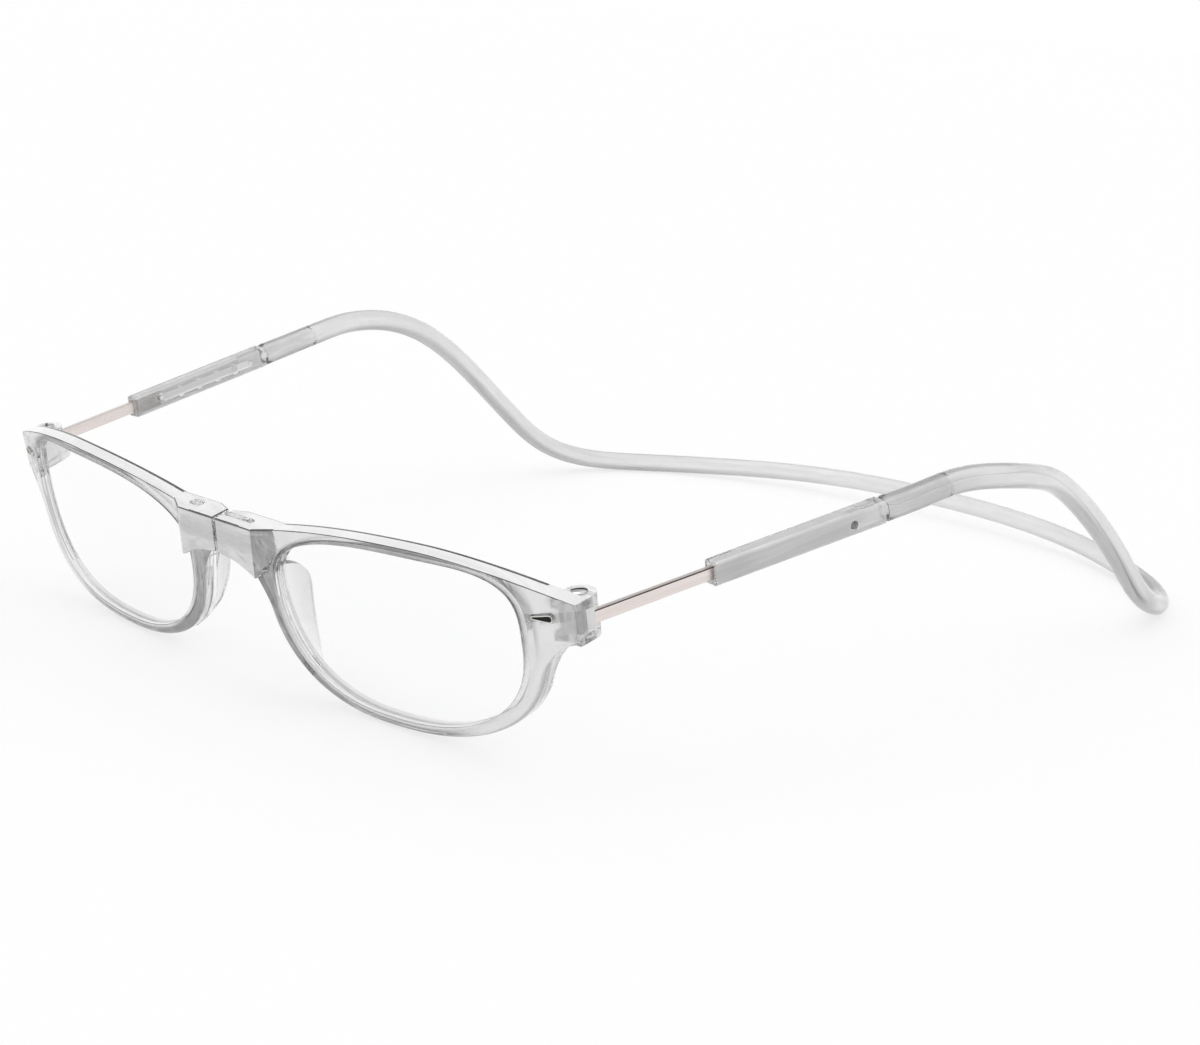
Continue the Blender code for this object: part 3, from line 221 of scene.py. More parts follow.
BAND_START_DIAMETER = 4.40 * MM
BAND_NAPE_DIAMETER = 3.90 * MM
BAND_EDGE = 0.25 * MM         # rounding of its two ends
BAND_STRAIGHT = 18.3 * MM     # straight part round the spigot
BAND_STEP = 0.8 * MM
CROWN_Y = 110.0 * MM          # the free band sags at its left crown and springs up at its right
CROWN_REACH = 22.0 * MM
LEFT_CROWN_LIFT = -1.5 * MM
RIGHT_CROWN_LIFT = 0.85 * MM
EAR_HALF_WIDTH = 82.3 * MM
BAND_DEPTH = 194.1 * MM
BAND_DROP = 73.7 * MM
BAND_BEND = 45 * MM           # the two points given with the band lie this far on each side of the nape
# centre line of one side: shares of the ear's half width, the band's depth and its drop
BAND_ROUTE = [
    (1.000, 0.5126, 0.1845),
    (0.995, 0.5580, 0.2252),
    (0.981, 0.5951, 0.2795),
    (0.971, 0.6337, 0.3704),
    (0.972, 0.6749, 0.4993),
    (0.972, 0.7161, 0.6459),
    (0.960, 0.7604, 0.7897),
    (0.926, 0.8166, 0.8928),
    (0.832, 0.8789, 0.9512),
    (0.678, 0.9304, 0.9796),
    (0.468, 0.9727, 0.9946),
    (0.231, 0.9943, 0.9986),
    (0.000, 1.0000, 1.0000),
]

STATIONS = 288                # sections round a rim
ROUND = 48                    # sides of a round piece
FINE = 5                      # steps round a section's corner
SHARP_ANGLE = math.radians(32)


def rotation(angle, axis):
    return Matrix.Rotation(angle, 4, axis)


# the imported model's hinge axes say how the wearer's frame is pitched and placed
joints = {joint["name"]: joint for joint in frame["joints"]}
left_fold, right_fold = joints["left_front_fold"], joints["right_front_fold"]
up = Vector(right_fold["axis"])
TURN = rotation(math.atan2(-up.y, up.z), "X")
middle = (Vector(left_fold["pos_m"]) + Vector(right_fold["pos_m"])) / 2
TO_ROW = Matrix.Translation(middle - TURN @ Vector((0.0, HINGE_Y, ARM_Z))) @ TURN
TO_RIGHT = Matrix.Scale(-1.0, 4, Vector((1.0, 0.0, 0.0)))


# --- mesh helpers ---
def linked(data):
    made = bpy.data.objects.new(data.name, data)
    bpy.context.scene.collection.objects.link(made)
    return made


def outward(mesh, weld=0.0):
    """Turns every face of a mesh outward, with near points welded first if asked."""
    bm = bmesh.new()
    bm.from_mesh(mesh)
    if weld:
        bmesh.ops.remove_doubles(bm, verts=bm.verts, dist=weld)
    bmesh.ops.recalc_face_normals(bm, faces=bm.faces)
    bm.to_mesh(mesh)
    bm.free()
    return mesh


def mesh_object(verts, faces):
    mesh = bpy.data.meshes.new("piece")
    mesh.from_pydata([tuple(v) for v in verts], [], faces)
    return linked(outward(mesh))


def baked(obj):
    """The object with its modifiers and its place worked into its mesh."""
    bpy.context.view_layer.update()
    graph = bpy.context.evaluated_depsgraph_get()
    mesh = bpy.data.meshes.new_from_object(obj.evaluated_get(graph))
    mesh.transform(obj.matrix_world)
    bpy.data.objects.remove(obj, do_unlink=True)
    return linked(outward(mesh, WELD))


def modified(obj, kind, **settings):
    step = obj.modifiers.new(kind, kind)
    for key, value in settings.items():
        setattr(step, key, value)
    return baked(obj)


def combine(target, tools, operation, solver="EXACT"):
    for tool in tools:
        target = modified(target, "BOOLEAN", operation=operation, object=tool, solver=solver)
        bpy.data.objects.remove(tool, do_unlink=True)
    return target


def bevelled(obj, width, segments=3, angle=50):
    return modified(obj, "BEVEL", width=width, segments=segments, limit_method="ANGLE",
                    angle_limit=math.radians(angle))


def bar(axis, place, radius, start, end, sides=ROUND):
    """A cylinder along X, Y or Z (axis 0, 1 or 2) through a place."""
    low, high = Vector(place), Vector(place)
    low[axis], high[axis] = start, end
    bpy.ops.mesh.primitive_cylinder_add(vertices=sides, radius=radius, depth=(high - low).length)
    made = bpy.context.object
    made.rotation_mode = "QUATERNION"
    made.rotation_quaternion = (high - low).to_track_quat("Z", "Y")
    made.location = (low + high) / 2
    return baked(made)


def block(low, high):
    low, high = Vector(low), Vector(high)
    bpy.ops.mesh.primitive_cube_add(size=1.0)
    made = bpy.context.object
    made.scale = high - low
    made.location = (low + high) / 2
    return baked(made)


def turned(profile, sides=ROUND):
    """A solid of revolution round Z, from radii and heights."""
    mesh = bpy.data.meshes.new("profile")
    mesh.from_pydata([(r, 0.0, z) for r, z in profile],
                     [(i, i + 1) for i in range(len(profile) - 1)], [])
    return modified(linked(mesh), "SCREW", axis="Z", steps=sides, render_steps=sides,
                    use_merge_vertices=True, merge_threshold=2 * MICRON,
                    use_normal_calculate=True)


def plate(points, thickness):
    """A flat plate over an outline in XY, half its thickness on each side of it."""
    curve = bpy.data.curves.new("outline", "CURVE")
    curve.dimensions = "2D"
    curve.fill_mode = "BOTH"
    curve.extrude = thickness / 2
    spline = curve.splines.new("POLY")
    spline.points.add(len(points) - 1)
    for point, (x, y) in zip(spline.points, points):
        point.co = (x, y, 0.0, 1.0)
    spline.use_cyclic_u = True
    return baked(linked(curve))


def moved(obj, matrix):
    obj.data.transform(matrix)
    return obj


def shifted(obj, x, y, z):
    return moved(obj, Matrix.Translation((x, y, z)))


def mirrored(obj):
    moved(obj, TO_RIGHT).data.flip_normals()
    return obj


def ring_loft(rings, closed=True, hubs=(), lids=False):
    """Quads from ring to ring. The two end rings can be closed by fans round hubs, or by lids."""
    count = len(rings[0])
    verts = [p for ring in rings for p in ring]
    faces = []
    for r in range(len(rings) if closed else len(rings) - 1):
        a = r * count
        b = ((r + 1) % len(rings)) * count
        for i in range(count):
            j = (i + 1) % count
            faces.append((a + i, a + j, b + j, b + i))
    ends = 0, (len(rings) - 1) * count
    for first, hub in zip(ends, hubs):
        faces += [(first + i, first + (i + 1) % count, len(verts)) for i in range(count)]
        verts.append(hub)
    if lids:
        faces += [tuple(range(first, first + count)) for first in ends]
    return mesh_object(verts, faces)


def arc(x, y, radius, start, end, count):
    return [(x + radius * math.cos(a), y + radius * math.sin(a))
            for a in np.linspace(start, end, count)]


def grown(value, start, end):
    """0 up to start, 1 from end on, and even growth between them."""
    return np.clip((value - start) / (end - start), 0.0, 1.0)


# --- outlines of the front ---
def sweep_back(x):
    return WRAP_DEPTH * (abs(x) / WRAP_X) ** WRAP_POWER


def quarter(centre, reach, exponent, start, count):
    """A quarter of a superellipse, without its last point."""
    points = []
    for i in range(count):
        angle = (start + i / count) * QUARTER
        points.append(tuple(
            middle + across * math.copysign(abs(part) ** (2 / exponent), part)
            for middle, across, part in zip(centre, reach, (math.cos(angle), math.sin(angle)))))
    return points


def opening_outline(count=220):
    quarters = [
        (OPENING_TOP_X, OPENING_TEMPLE_X, OPENING_TOP_Z, ROUND_TOP_TEMPLE),
        (OPENING_TOP_X, OPENING_NOSE_X, OPENING_TOP_Z, ROUND_TOP_NOSE),
        (OPENING_BOTTOM_X, OPENING_NOSE_X, OPENING_BOTTOM_Z, ROUND_LOW_NOSE),
        (OPENING_BOTTOM_X, OPENING_TEMPLE_X, OPENING_BOTTOM_Z, ROUND_LOW_TEMPLE),
    ]
    points = []
    for start, (x, end_x, end_z, exponent) in enumerate(quarters):
        reach = abs(end_x - x), abs(end_z - OPENING_WAIST_Z)
        points += quarter((x, OPENING_WAIST_Z), reach, exponent, start, count)
    return points


def bezier(a, b, c, d, count=48):
    points = []
    for i in range(count + 1):
        t = i / count
        k = (1 - t) ** 3, 3 * t * (1 - t) ** 2, 3 * t * t * (1 - t), t ** 3
        points.append(tuple(sum(w * p[j] for w, p in zip(k, (a, b, c, d))) for j in (0, 1)))
    return points


def brow_z(x):
    if x > BROW_X:
        return BROW_Z - (BROW_Z - BROW_END_Z) * ((x - BROW_X) / (FRONT_HALF_WIDTH - BROW_X)) ** 2
    return BROW_Z - (BROW_Z - BROW_SEAM_Z) * ((x - BROW_X) / BROW_X) ** 2


SEAM_X = SEAM_GAP / 2
CORE_X = SEAM_X + CORE_START_X
CORE_LOW = (CORE_X, -BRIDGE_HEIGHT + BRIDGE_EDGE)
CORE_TOP = (CORE_X, brow_z(CORE_X))
CORNER_LOW = (FRONT_HALF_WIDTH, ENDPIECE_BOTTOM_Z)
CORNER_TOP = (FRONT_HALF_WIDTH, brow_z(FRONT_HALF_WIDTH))
FACE_CENTRE = ((OPENING_NOSE_X + OPENING_TEMPLE_X) / 2, (OPENING_TOP_Z + OPENING_BOTTOM_Z) / 2)


def face_outline():
    """The rim's outline with the endpiece, and the tight turns in it that need stations."""
    points = [CORNER_LOW, CORNER_TOP]
    points += [(x, brow_z(x)) for x in np.linspace(FRONT_HALF_WIDTH, CORE_X, 200)[1:]]
    drop = OPENING_WAIST_Z - OPENING_BOTTOM_Z + RIM_BOTTOM
    lowest = (OPENING_BOTTOM_X, OPENING_WAIST_Z)
    nose_reach = OPENING_BOTTOM_X - OPENING_NOSE_X + RIM_NOSE
    nose = quarter(lowest, (nose_reach, drop), ROUND_LOW_NOSE, 2, 160)
    temple_reach = OPENING_TEMPLE_X - OPENING_BOTTOM_X + RIM_TEMPLE
    temple = quarter(lowest, (temple_reach, drop), ROUND_LOW_TEMPLE, 3, 160)
    nose = nose[next(i for i, p in enumerate(nose) if p[1] < NOSE_TURN_Z):]
    temple = temple[:next(i for i, p in enumerate(temple) if p[1] > TEMPLE_TURN_Z)]
    into = (Vector(nose[1]) - Vector(nose[0])).normalized()
    arch = bezier(CORE_LOW, (CORE_LOW[0] + ARCH_REACH, CORE_LOW[1]),
                  tuple(Vector(nose[0]) - into * ARCH_REACH), nose[0])
    out = (Vector(temple[-1]) - Vector(temple[-2])).normalized()
    flare = bezier(temple[-1], tuple(Vector(temple[-1]) + out * FLARE_REACH),
                   (CORNER_LOW[0] - FLARE_RUN, CORNER_LOW[1] - FLARE_SAG), CORNER_LOW)
    return points + arch[:-1] + nose + temple[:-1] + flare[:-1], flare[2:-2:4]


def ray_length(outline, angle):
    """How far a ray from the face's centre runs to an outline."""
    ahead = np.array([math.cos(angle), math.sin(angle)])
    start = np.array(outline)
    side = np.roll(start, -1, axis=0) - start
    away = start - np.array(FACE_CENTRE)
    cross = ahead[0] * side[:, 1] - ahead[1] * side[:, 0]
    cross[np.abs(cross) < 1e-15] = 1e-15
    along = (away[:, 0] * side[:, 1] - away[:, 1] * side[:, 0]) / cross
    on_side = (away[:, 0] * ahead[1] - away[:, 1] * ahead[0]) / cross
    hit = (along > 0) & (on_side >= -1e-9) & (on_side <= 1 + 1e-9)
    return float(along[hit].max())


def station_angles(corners, tight):
    """Even angles round the face: the nearest one moved to each corner, and more at tight turns."""
    def towards(point):
        return math.atan2(point[1] - FACE_CENTRE[1], point[0] - FACE_CENTRE[0]) % (2 * math.pi)

    angles = [2 * math.pi * i / STATIONS for i in range(STATIONS)]
    for exact in map(towards, corners):
        nearest = min(range(STATIONS), key=lambda i: abs(angles[i] - exact))
        angles[nearest] = exact
    for exact in map(towards, tight):
        if min(abs(a - exact) for a in angles) > math.pi / STATIONS / 3:
            angles.append(exact)
    return sorted(angles)


def bridge_back(x):
    return SEAM_BACK_Y + (BRIDGE_BACK_Y - SEAM_BACK_Y) * grown(x, SEAM_X, SEAM_BACK_X)


def core_depth(x):
    inside = bridge_back(x) - CORE_INSET
    return inside + (RIM_DEPTH - inside) * grown(x, SEAM_BACK_X, OPENING_NOSE_X - CORE_INSET)


def corner(along, back, depth, radius, start):
    """Section points round one corner: the arc's centre is (along, back * core depth + depth)."""
    start = math.radians(start)
    return [(u, back, v)
            for u, v in arc(along, depth, radius, start, start + QUARTER, FINE + 1)]


def rim():
    """The rim with the endpiece and the core inside the bridge block, grooved for the lens."""
    opening = opening_outline()
    face, tight = face_outline()
    near = (RIM_DEPTH - GROOVE_WIDTH) / 2
    far = near + GROOVE_WIDTH
    rings = []
    for angle in station_angles([CORNER_LOW, CORNER_TOP, CORE_TOP, CORE_LOW], tight):
        inner = ray_length(opening, angle)
        width = ray_length(face, angle) - inner
        dx, dz = math.cos(angle), math.sin(angle)
        low = grown(-(FACE_CENTRE[1] + dz * (inner + width)), *EDGE_TURN)
        front = TOP_EDGE + (LOW_EDGE - TOP_EDGE) * low * low * (3 - 2 * low)
        section = [(width * share, 0, 0) for share in FRONT_SHARES]
        section += corner(width - front, 0, front, front, -90)
        section += [(width, 1, -BACK_EDGE - REAR_LINE)]
        section += corner(width - BACK_EDGE, 1, -BACK_EDGE, BACK_EDGE, 0)
        section += [(width * share, 1, 0) for share in BACK_SHARES]
        section += corner(OPENING_EDGE, 1, -OPENING_EDGE, OPENING_EDGE, 90)
        section += [(0, 0, far), (GROOVE_DEPTH, 0, far), (GROOVE_DEPTH, 0, near), (0, 0, near)]
        section += corner(OPENING_EDGE, 0, OPENING_EDGE, OPENING_EDGE, 180)
        ring = []
        for along, side, extra in section:
            x = FACE_CENTRE[0] + dx * (inner + along)
            z = FACE_CENTRE[1] + dz * (inner + along)
            ring.append((x, sweep_back(x) + side * core_depth(x) + extra, z))
        rings.append(ring)
    return ring_loft(rings)


def lens():
    """Both faces bulge forward, the back one less, so it magnifies."""
    outline = opening_outline()
    turns = [2 * math.pi * i / STATIONS for i in range(STATIONS)]
    reach = [ray_length(outline, turn) + GROOVE_DEPTH - GAP for turn in turns]

    def surface(edge_y, crown, chamfer):
        rings = []
        for share in LENS_RINGS:
            ring = []
            for turn, full in zip(turns, reach):
                full -= 0.0 if share == 1.0 else FINE_EDGE
                x = FACE_CENTRE[0] + math.cos(turn) * full * share
                z = FACE_CENTRE[1] + math.sin(turn) * full * share
                cut = chamfer if share == 1.0 else 0.0
                ring.append((x, sweep_back(x) + edge_y - crown * (1 - share ** 2) + cut, z))
            rings.append(ring)
        hub_y = sweep_back(FACE_CENTRE[0]) + edge_y - crown
        return rings, (FACE_CENTRE[0], hub_y, FACE_CENTRE[1])

    front_y = (RIM_DEPTH - LENS_EDGE) / 2
    front, front_hub = surface(front_y, LENS_CROWN, FINE_EDGE)
    back, back_hub = surface(front_y + LENS_EDGE, LENS_CROWN * LENS_BACK_SHARE, -FINE_EDGE)
    return ring_loft(front[::-1] + back, closed=False, hubs=(front_hub, back_hub))


def bridge_block():
    columns = []
    for x in (SEAM_X, SEAM_BACK_X, *np.linspace(SEAM_BACK_X, BRIDGE_FLAT_X, 7)[1:]):
        columns.append((x, -BRIDGE_HEIGHT - ARCH_DROP * (x / BRIDGE_FLAT_X) ** 2))
    columns.append(((BRIDGE_FLAT_X + BRIDGE_RAMP_X) / 2, RAMP_MIDDLE_Z))
    columns.append((BRIDGE_RAMP_X, RAMP_END_Z))
    verts = []
    for x, bottom in columns:
        share = grown(x, BRIDGE_FLAT_X, BRIDGE_RAMP_X)
        front = BRIDGE_FRONT_Y + share * (RAMP_SINK - BRIDGE_FRONT_Y)
        lean = BRIDGE_LEAN * -bottom / BRIDGE_HEIGHT * (1 - share)
        back = bridge_back(x)
        draft = SEAM_DRAFT if x == SEAM_X else 0.0
        verts += [(x, front, 0.0), (x, front - lean, bottom),
                  (x + draft, back, bottom), (x + draft, back, 0.0)]
    faces = [(0, 1, 2, 3), tuple(len(verts) - 4 + i for i in (3, 2, 1, 0))]
    for c in range(0, len(verts) - 4, 4):
        faces += [(c + i, c + (i + 1) % 4, c + 4 + (i + 1) % 4, c + 4 + i) for i in range(4)]
    return bevelled(mesh_object(verts, faces), BRIDGE_EDGE, 4, 35)


def knuckle(z_low, z_high):
    front = sweep_back(HINGE_X) + RIM_DEPTH / 2
    points = arc(HINGE_X, HINGE_Y, KNUCKLE_RADIUS, 0.0, math.pi, 41)
    points += [(HINGE_X - KNUCKLE_RADIUS, front), (HINGE_X + KNUCKLE_RADIUS, front)]
    made = bevelled(plate(points, z_high - z_low), PLAIN_EDGE)
    return shifted(made, 0.0, 0.0, (z_low + z_high) / 2)


def nose_pad():
    """The wing behind the rim, rooted along the lower nose side of the opening."""
    centre_z = (PAD_TOP_Z + PAD_BOTTOM_Z) / 2
    half = (PAD_TOP_Z - PAD_BOTTOM_Z) / 2
    verts = []
    for v in (-1 + 2 * r / (PAD_ROWS - 1) for r in range(PAD_ROWS)):
        z = centre_z + half * v
        down = (1 - v) / 2
        if down < PAD_HIGH_SHARE:
            thinned = ((PAD_HIGH_SHARE - down) / PAD_HIGH_SHARE) ** PAD_HIGH_POWER
        else:
            thinned = ((down - PAD_HIGH_SHARE) / (1 - PAD_HIGH_SHARE)) ** PAD_LOW_POWER
        fullness = (1 - PAD_TAPER * thinned) ** 0.5
        height = OPENING_WAIST_Z - OPENING_BOTTOM_Z + RIM_BOTTOM
        fall = abs(min(0.0, z - OPENING_WAIST_Z)) / height
        inward = max(0.0, 1 - fall ** ROUND_LOW_NOSE) ** (1 / ROUND_LOW_NOSE)
        root_x = OPENING_BOTTOM_X - (OPENING_BOTTOM_X - OPENING_NOSE_X + PAD_INSET) * inward
        for s in range(PAD_COLUMNS):
            u = s / (PAD_COLUMNS - 1)
            y = RIM_DEPTH - PAD_ROOT + (PAD_REACH + PAD_ROOT) * u * fullness
            verts.append((root_x + PAD_FLARE * (u * fullness) ** PAD_CURL, y, z))
    faces = []
    for r in range(PAD_ROWS - 1):
        for a in range(r * PAD_COLUMNS, (r + 1) * PAD_COLUMNS - 1):
            faces.append((a, a + 1, a + PAD_COLUMNS + 1, a + PAD_COLUMNS))
    made = modified(mesh_object(verts, faces), "SOLIDIFY", thickness=PAD_THICKNESS, offset=0.0,
                    use_even_offset=True)
    return bevelled(made, PAD_EDGE, 4)


def rivet_outline(grow=0.0):
    tip = RIVET_TIP_HEIGHT / 2
    full = RIVET_HEIGHT / 2
    return (arc(tip - RIVET_LENGTH / 2, 0.0, tip + grow, QUARTER, 3 * QUARTER, 17)
            + arc(RIVET_LENGTH / 2 - full, 0.0, full + grow, -QUARTER, QUARTER, 25))


def rivet_frame():
    slope = (sweep_back(RIVET_X + 0.5 * MM) - sweep_back(RIVET_X - 0.5 * MM)) / MM
    place = Matrix.Translation((RIVET_X, sweep_back(RIVET_X), RIVET_Z))
    return place @ rotation(math.atan(slope), "Z") @ rotation(QUARTER, "X")


def rivet():
    """A drop-shaped stud with a raised border round a dished, darkened face."""
    height = RIVET_PROUD + RIVET_SEAT - FINE_GAP
    made = shifted(plate(rivet_outline(), height), 0.0, 0.0, RIVET_PROUD - height / 2)
    made = bevelled(made, SMALL_EDGE, 4, 60)
    dish = bevelled(plate(rivet_outline(-RIVET_BORDER), DISH_CUTTER), DISH_EDGE, angle=60)
    shifted(dish, 0.0, 0.0, RIVET_PROUD + DISH_CUTTER / 2 - DISH_DEPTH)
    return moved(combine(made, [dish], "DIFFERENCE"), rivet_frame())


def rivet_pocket():
    return moved(plate(rivet_outline(FINE_GAP), RIVET_SEAT * 2), rivet_frame())


def pill(length, width):
    run, radius = (length - width) / 2, width / 2
    return (arc(run, 0.0, radius, -QUARTER, QUARTER, 20)
            + arc(-run, 0.0, radius, QUARTER, 3 * QUARTER, 20))


def plug(place, size):
    made = bevelled(plate(pill(*size), PLUG_DEPTH), PLUG_EDGE, 2)
    return shifted(made, *place, -PLUG_DEPTH / 2)


def plug_pocket(place, size):
    outline = pill(*(s + 2 * FINE_GAP for s in size))
    return shifted(plate(outline, 2 * (PLUG_DEPTH + FINE_GAP)), *place, 0.0)


MAGNET_Y = (BRIDGE_FRONT_Y + SEAM_BACK_Y - BRIDGE_LEAN * MAGNET_Z / -BRIDGE_HEIGHT) / 2
MAGNET = (0.0, MAGNET_Y, MAGNET_Z)
MAGNET_END = SEAM_X + MAGNET_INSET + MAGNET_LENGTH
HINGE = (HINGE_X, HINGE_Y, ARM_Z)


def magnet():
    made = bar(0, MAGNET, MAGNET_DIAMETER / 2, SEAM_X + MAGNET_INSET, MAGNET_END)
    return bevelled(made, FINE_EDGE)


def front_half(plug_place, plug_size):
    """Rim, endpiece, knuckles, nose wing and half of the bridge block, in one moulding."""
    half = KNUCKLE_HEIGHT / 2
    body = combine(rim(), [bridge_block()], "UNION")
    eye_room = bar(2, HINGE, KNUCKLE_RADIUS + GAP, KNUCKLE_BOTTOM_Z + half,
                   KNUCKLE_TOP_Z - half, 72)
    body = combine(body, [eye_room], "DIFFERENCE")
    knuckles = [knuckle(KNUCKLE_TOP_Z - KNUCKLE_HEIGHT, KNUCKLE_TOP_Z),
                knuckle(KNUCKLE_BOTTOM_Z, KNUCKLE_BOTTOM_Z + KNUCKLE_HEIGHT)]
    body = combine(body, knuckles + [nose_pad()], "UNION")
    bore = bar(2, HINGE, SCREW_DIAMETER / 2 + GAP, KNUCKLE_BOTTOM_Z - half, KNUCKLE_TOP_Z + half)
    socket = bar(0, MAGNET, MAGNET_DIAMETER / 2 + FINE_GAP, -SEAM_X, MAGNET_END + FINE_GAP)
    cutters = [bore, socket, plug_pocket(plug_place, plug_size), rivet_pocket()]
    return combine(body, cutters, "DIFFERENCE")


def hinge_screw():
    head = SCREW_HEAD_DIAMETER / 2
    shank = SCREW_DIAMETER / 2
    seat = KNUCKLE_TOP_Z + SCREW_CLEARANCE
    top = seat + SCREW_HEAD_HEIGHT
    low = KNUCKLE_BOTTOM_Z + SCREW_SHORTFALL
    profile = [(head * math.sin(a), top - SCREW_DOME * (1 - math.cos(a)))
               for a in np.linspace(0, SCREW_DOME_TURN, 9)]
    profile += [(head, top - SCREW_HEAD_ROUND), (head, seat), (shank, seat), (shank, low),
                (0.0, low)]
    slot = block((-head - MM, -SCREW_SLOT / 2, top - SCREW_HEAD_HEIGHT * SCREW_SLOT_SHARE),
                 (head + MM, SCREW_SLOT / 2, top + MM))
    moved(slot, rotation(SCREW_SLOT_TURN, "Z"))
    return shifted(combine(turned(profile), [slot], "DIFFERENCE"), HINGE_X, HINGE_Y, 0.0)


# --- arm, in its own frame: +Y to the rear along the arm, X = 0 on the arm line ---
STUD_Y = SLEEVE_START + NOTCH_START
TRAVEL = NOTCH_PITCH * (NOTCHES - 1)
SLOT_END = STUD_Y + TRAVEL + SLOT_TAIL
CHANNEL_END = STUD_Y + STRIP_TAIL + TRAVEL + 2 * GAP
SLEEVE_END = SLEEVE_START + SLEEVE_LENGTH
PIN_Y = SLEEVE_END - PIN_BACK
PIN = (0.0, PIN_Y, -PIN_DROP)
ARM = (Matrix.Translation((HINGE_X + ARM_OFFSET, *HINGE[1:]))
       @ rotation(-ARM_SPLAY, "Z") @ rotation(-ARM_SLOPE, "X"))
TO_ARM = ARM.inverted()
ORIGIN = (0.0, 0.0, 0.0)


def sleeve_half_width(y):
    share = (y - SLEEVE_START) / SLEEVE_LENGTH
    return (SLEEVE_FRONT_WIDTH + (SLEEVE_REAR_WIDTH - SLEEVE_FRONT_WIDTH) * share) / 2


def temple_strip():
    """The flat strip, with its eye between the front's two knuckles."""
    half = STRIP_THICKNESS / 2
    strip = block((-half, 0.0, -STRIP_HEIGHT / 2), (half, STUD_Y + STRIP_TAIL, STRIP_HEIGHT / 2))
    strip = bevelled(strip, PLAIN_EDGE)
    stud_hole = bar(0, (0.0, STUD_Y, 0.0), STUD_SHANK / 2 + FINE_GAP, -MM, MM, 24)
    strip = combine(strip, [stud_hole], "DIFFERENCE")
    low = KNUCKLE_BOTTOM_Z + KNUCKLE_HEIGHT + GAP
    high = KNUCKLE_TOP_Z - KNUCKLE_HEIGHT - GAP
    eye = bevelled(bar(2, HINGE, KNUCKLE_RADIUS - EYE_RELIEF, low, high, 64), FINE_EDGE, 2)
    bore = bar(2, HINGE, SCREW_DIAMETER / 2 + GAP, low - MM, high + MM)
    strip = combine(strip, [moved(eye, TO_ARM)], "UNION")
    return combine(strip, [moved(bore, TO_ARM)], "DIFFERENCE")


def click_stud():
    half = STRIP_THICKNESS / 2
    seat = half + FINE_GAP
    head = seat + STUD_HEIGHT
    wide, thin = STUD_DIAMETER / 2, STUD_SHANK / 2
    profile = [(0.0, head), (wide - SMALL_EDGE, head),
               (wide - SMALL_EDGE * 0.3, head - SMALL_EDGE * 0.3), (wide, head - SMALL_EDGE),
               (wide, seat), (thin, seat), (thin, -half), (0.0, -half)]
    made = moved(turned(profile, 32), rotation(-QUARTER, "Y"))
    return shifted(made, 0.0, STUD_Y, 0.0)


def notched_slot():
    """A cutter for the sleeve's inner side: one slot with a round notch at each click stop."""
    depth = SLEEVE_REAR_WIDTH
    wide, narrow = NOTCH_DIAMETER / 2, SLOT_WIDTH / 2
    meet = math.asin(narrow / wide)
    upper = []
    for i in range(NOTCHES):
        start = math.pi - (meet if i else 0.0)
        upper += arc(STUD_Y + i * NOTCH_PITCH, 0.0, wide, start, meet, 17)
    upper += arc(SLOT_END - narrow, 0.0, narrow, QUARTER, 0.0, 13)
    lower = [(y, -z) for y, z in reversed(upper[1:-1])]
    to_side = rotation(QUARTER, "Z") @ rotation(QUARTER, "X")
    made = moved(plate(upper + lower, depth), to_side)
    return shifted(made, -(STRIP_THICKNESS + GAP + depth) / 2, 0.0, 0.0)


def sleeve():
    """The tapered sleeve with its channel, notched slot, pin hole and spigot."""
    tall = SLEEVE_HEIGHT / 2
    verts = []
    for y in (SLEEVE_START, SLEEVE_END):
        wide = sleeve_half_width(y)
        verts += [(-wide, y, -tall), (wide, y, -tall), (wide, y, tall), (-wide, y, tall)]
    faces = [(0, 1, 2, 3), (7, 6, 5, 4)]
    faces += [(i, (i + 1) % 4, (i + 1) % 4 + 4, i + 4) for i in range(4)]
    body = mesh_object(verts, faces)
    weights = body.data.attributes.new("bevel_weight_edge", "FLOAT", "EDGE")
    for edge in body.data.edges:
        a, b = (body.data.vertices[v].co.y for v in edge.vertices)
        weights.data[edge.index].value = 1.0 if abs(a - b) > MM else SLEEVE_END_SHARE
    body = modified(body, "BEVEL", width=SLEEVE_EDGE, segments=7, limit_method="WEIGHT")
    spigot = bar(1, ORIGIN, SPIGOT_DIAMETER / 2, SLEEVE_END - MM,
                 SLEEVE_END + SPIGOT_LENGTH, 40)
    body = combine(body, [bevelled(spigot, SPIGOT_EDGE)], "UNION")
    half_x = STRIP_THICKNESS / 2 + GAP
    half_z = STRIP_HEIGHT / 2 + GAP
    channel = block((-half_x, SLEEVE_START - MM, -half_z), (half_x, CHANNEL_END, half_z))
    outer = sleeve_half_width(PIN_Y)
    pin_room = bar(0, PIN, PIN_DIAMETER / 2 + FINE_GAP, outer - PIN_LENGTH, outer + MM, 32)
    return combine(body, [channel, notched_slot(), pin_room], "DIFFERENCE", "MANIFOLD")


def sleeve_pin():
    outer = sleeve_half_width(PIN_Y)
    made = bar(0, PIN, PIN_DIAMETER / 2, outer - PIN_LENGTH + FINE_GAP, outer - PIN_RECESS, 32)
    return bevelled(made, SMALL_EDGE)


# --- neck band ---
def run_along(line):
    return np.concatenate([[0.0], np.cumsum(np.linalg.norm(np.diff(line, axis=0), axis=1))])


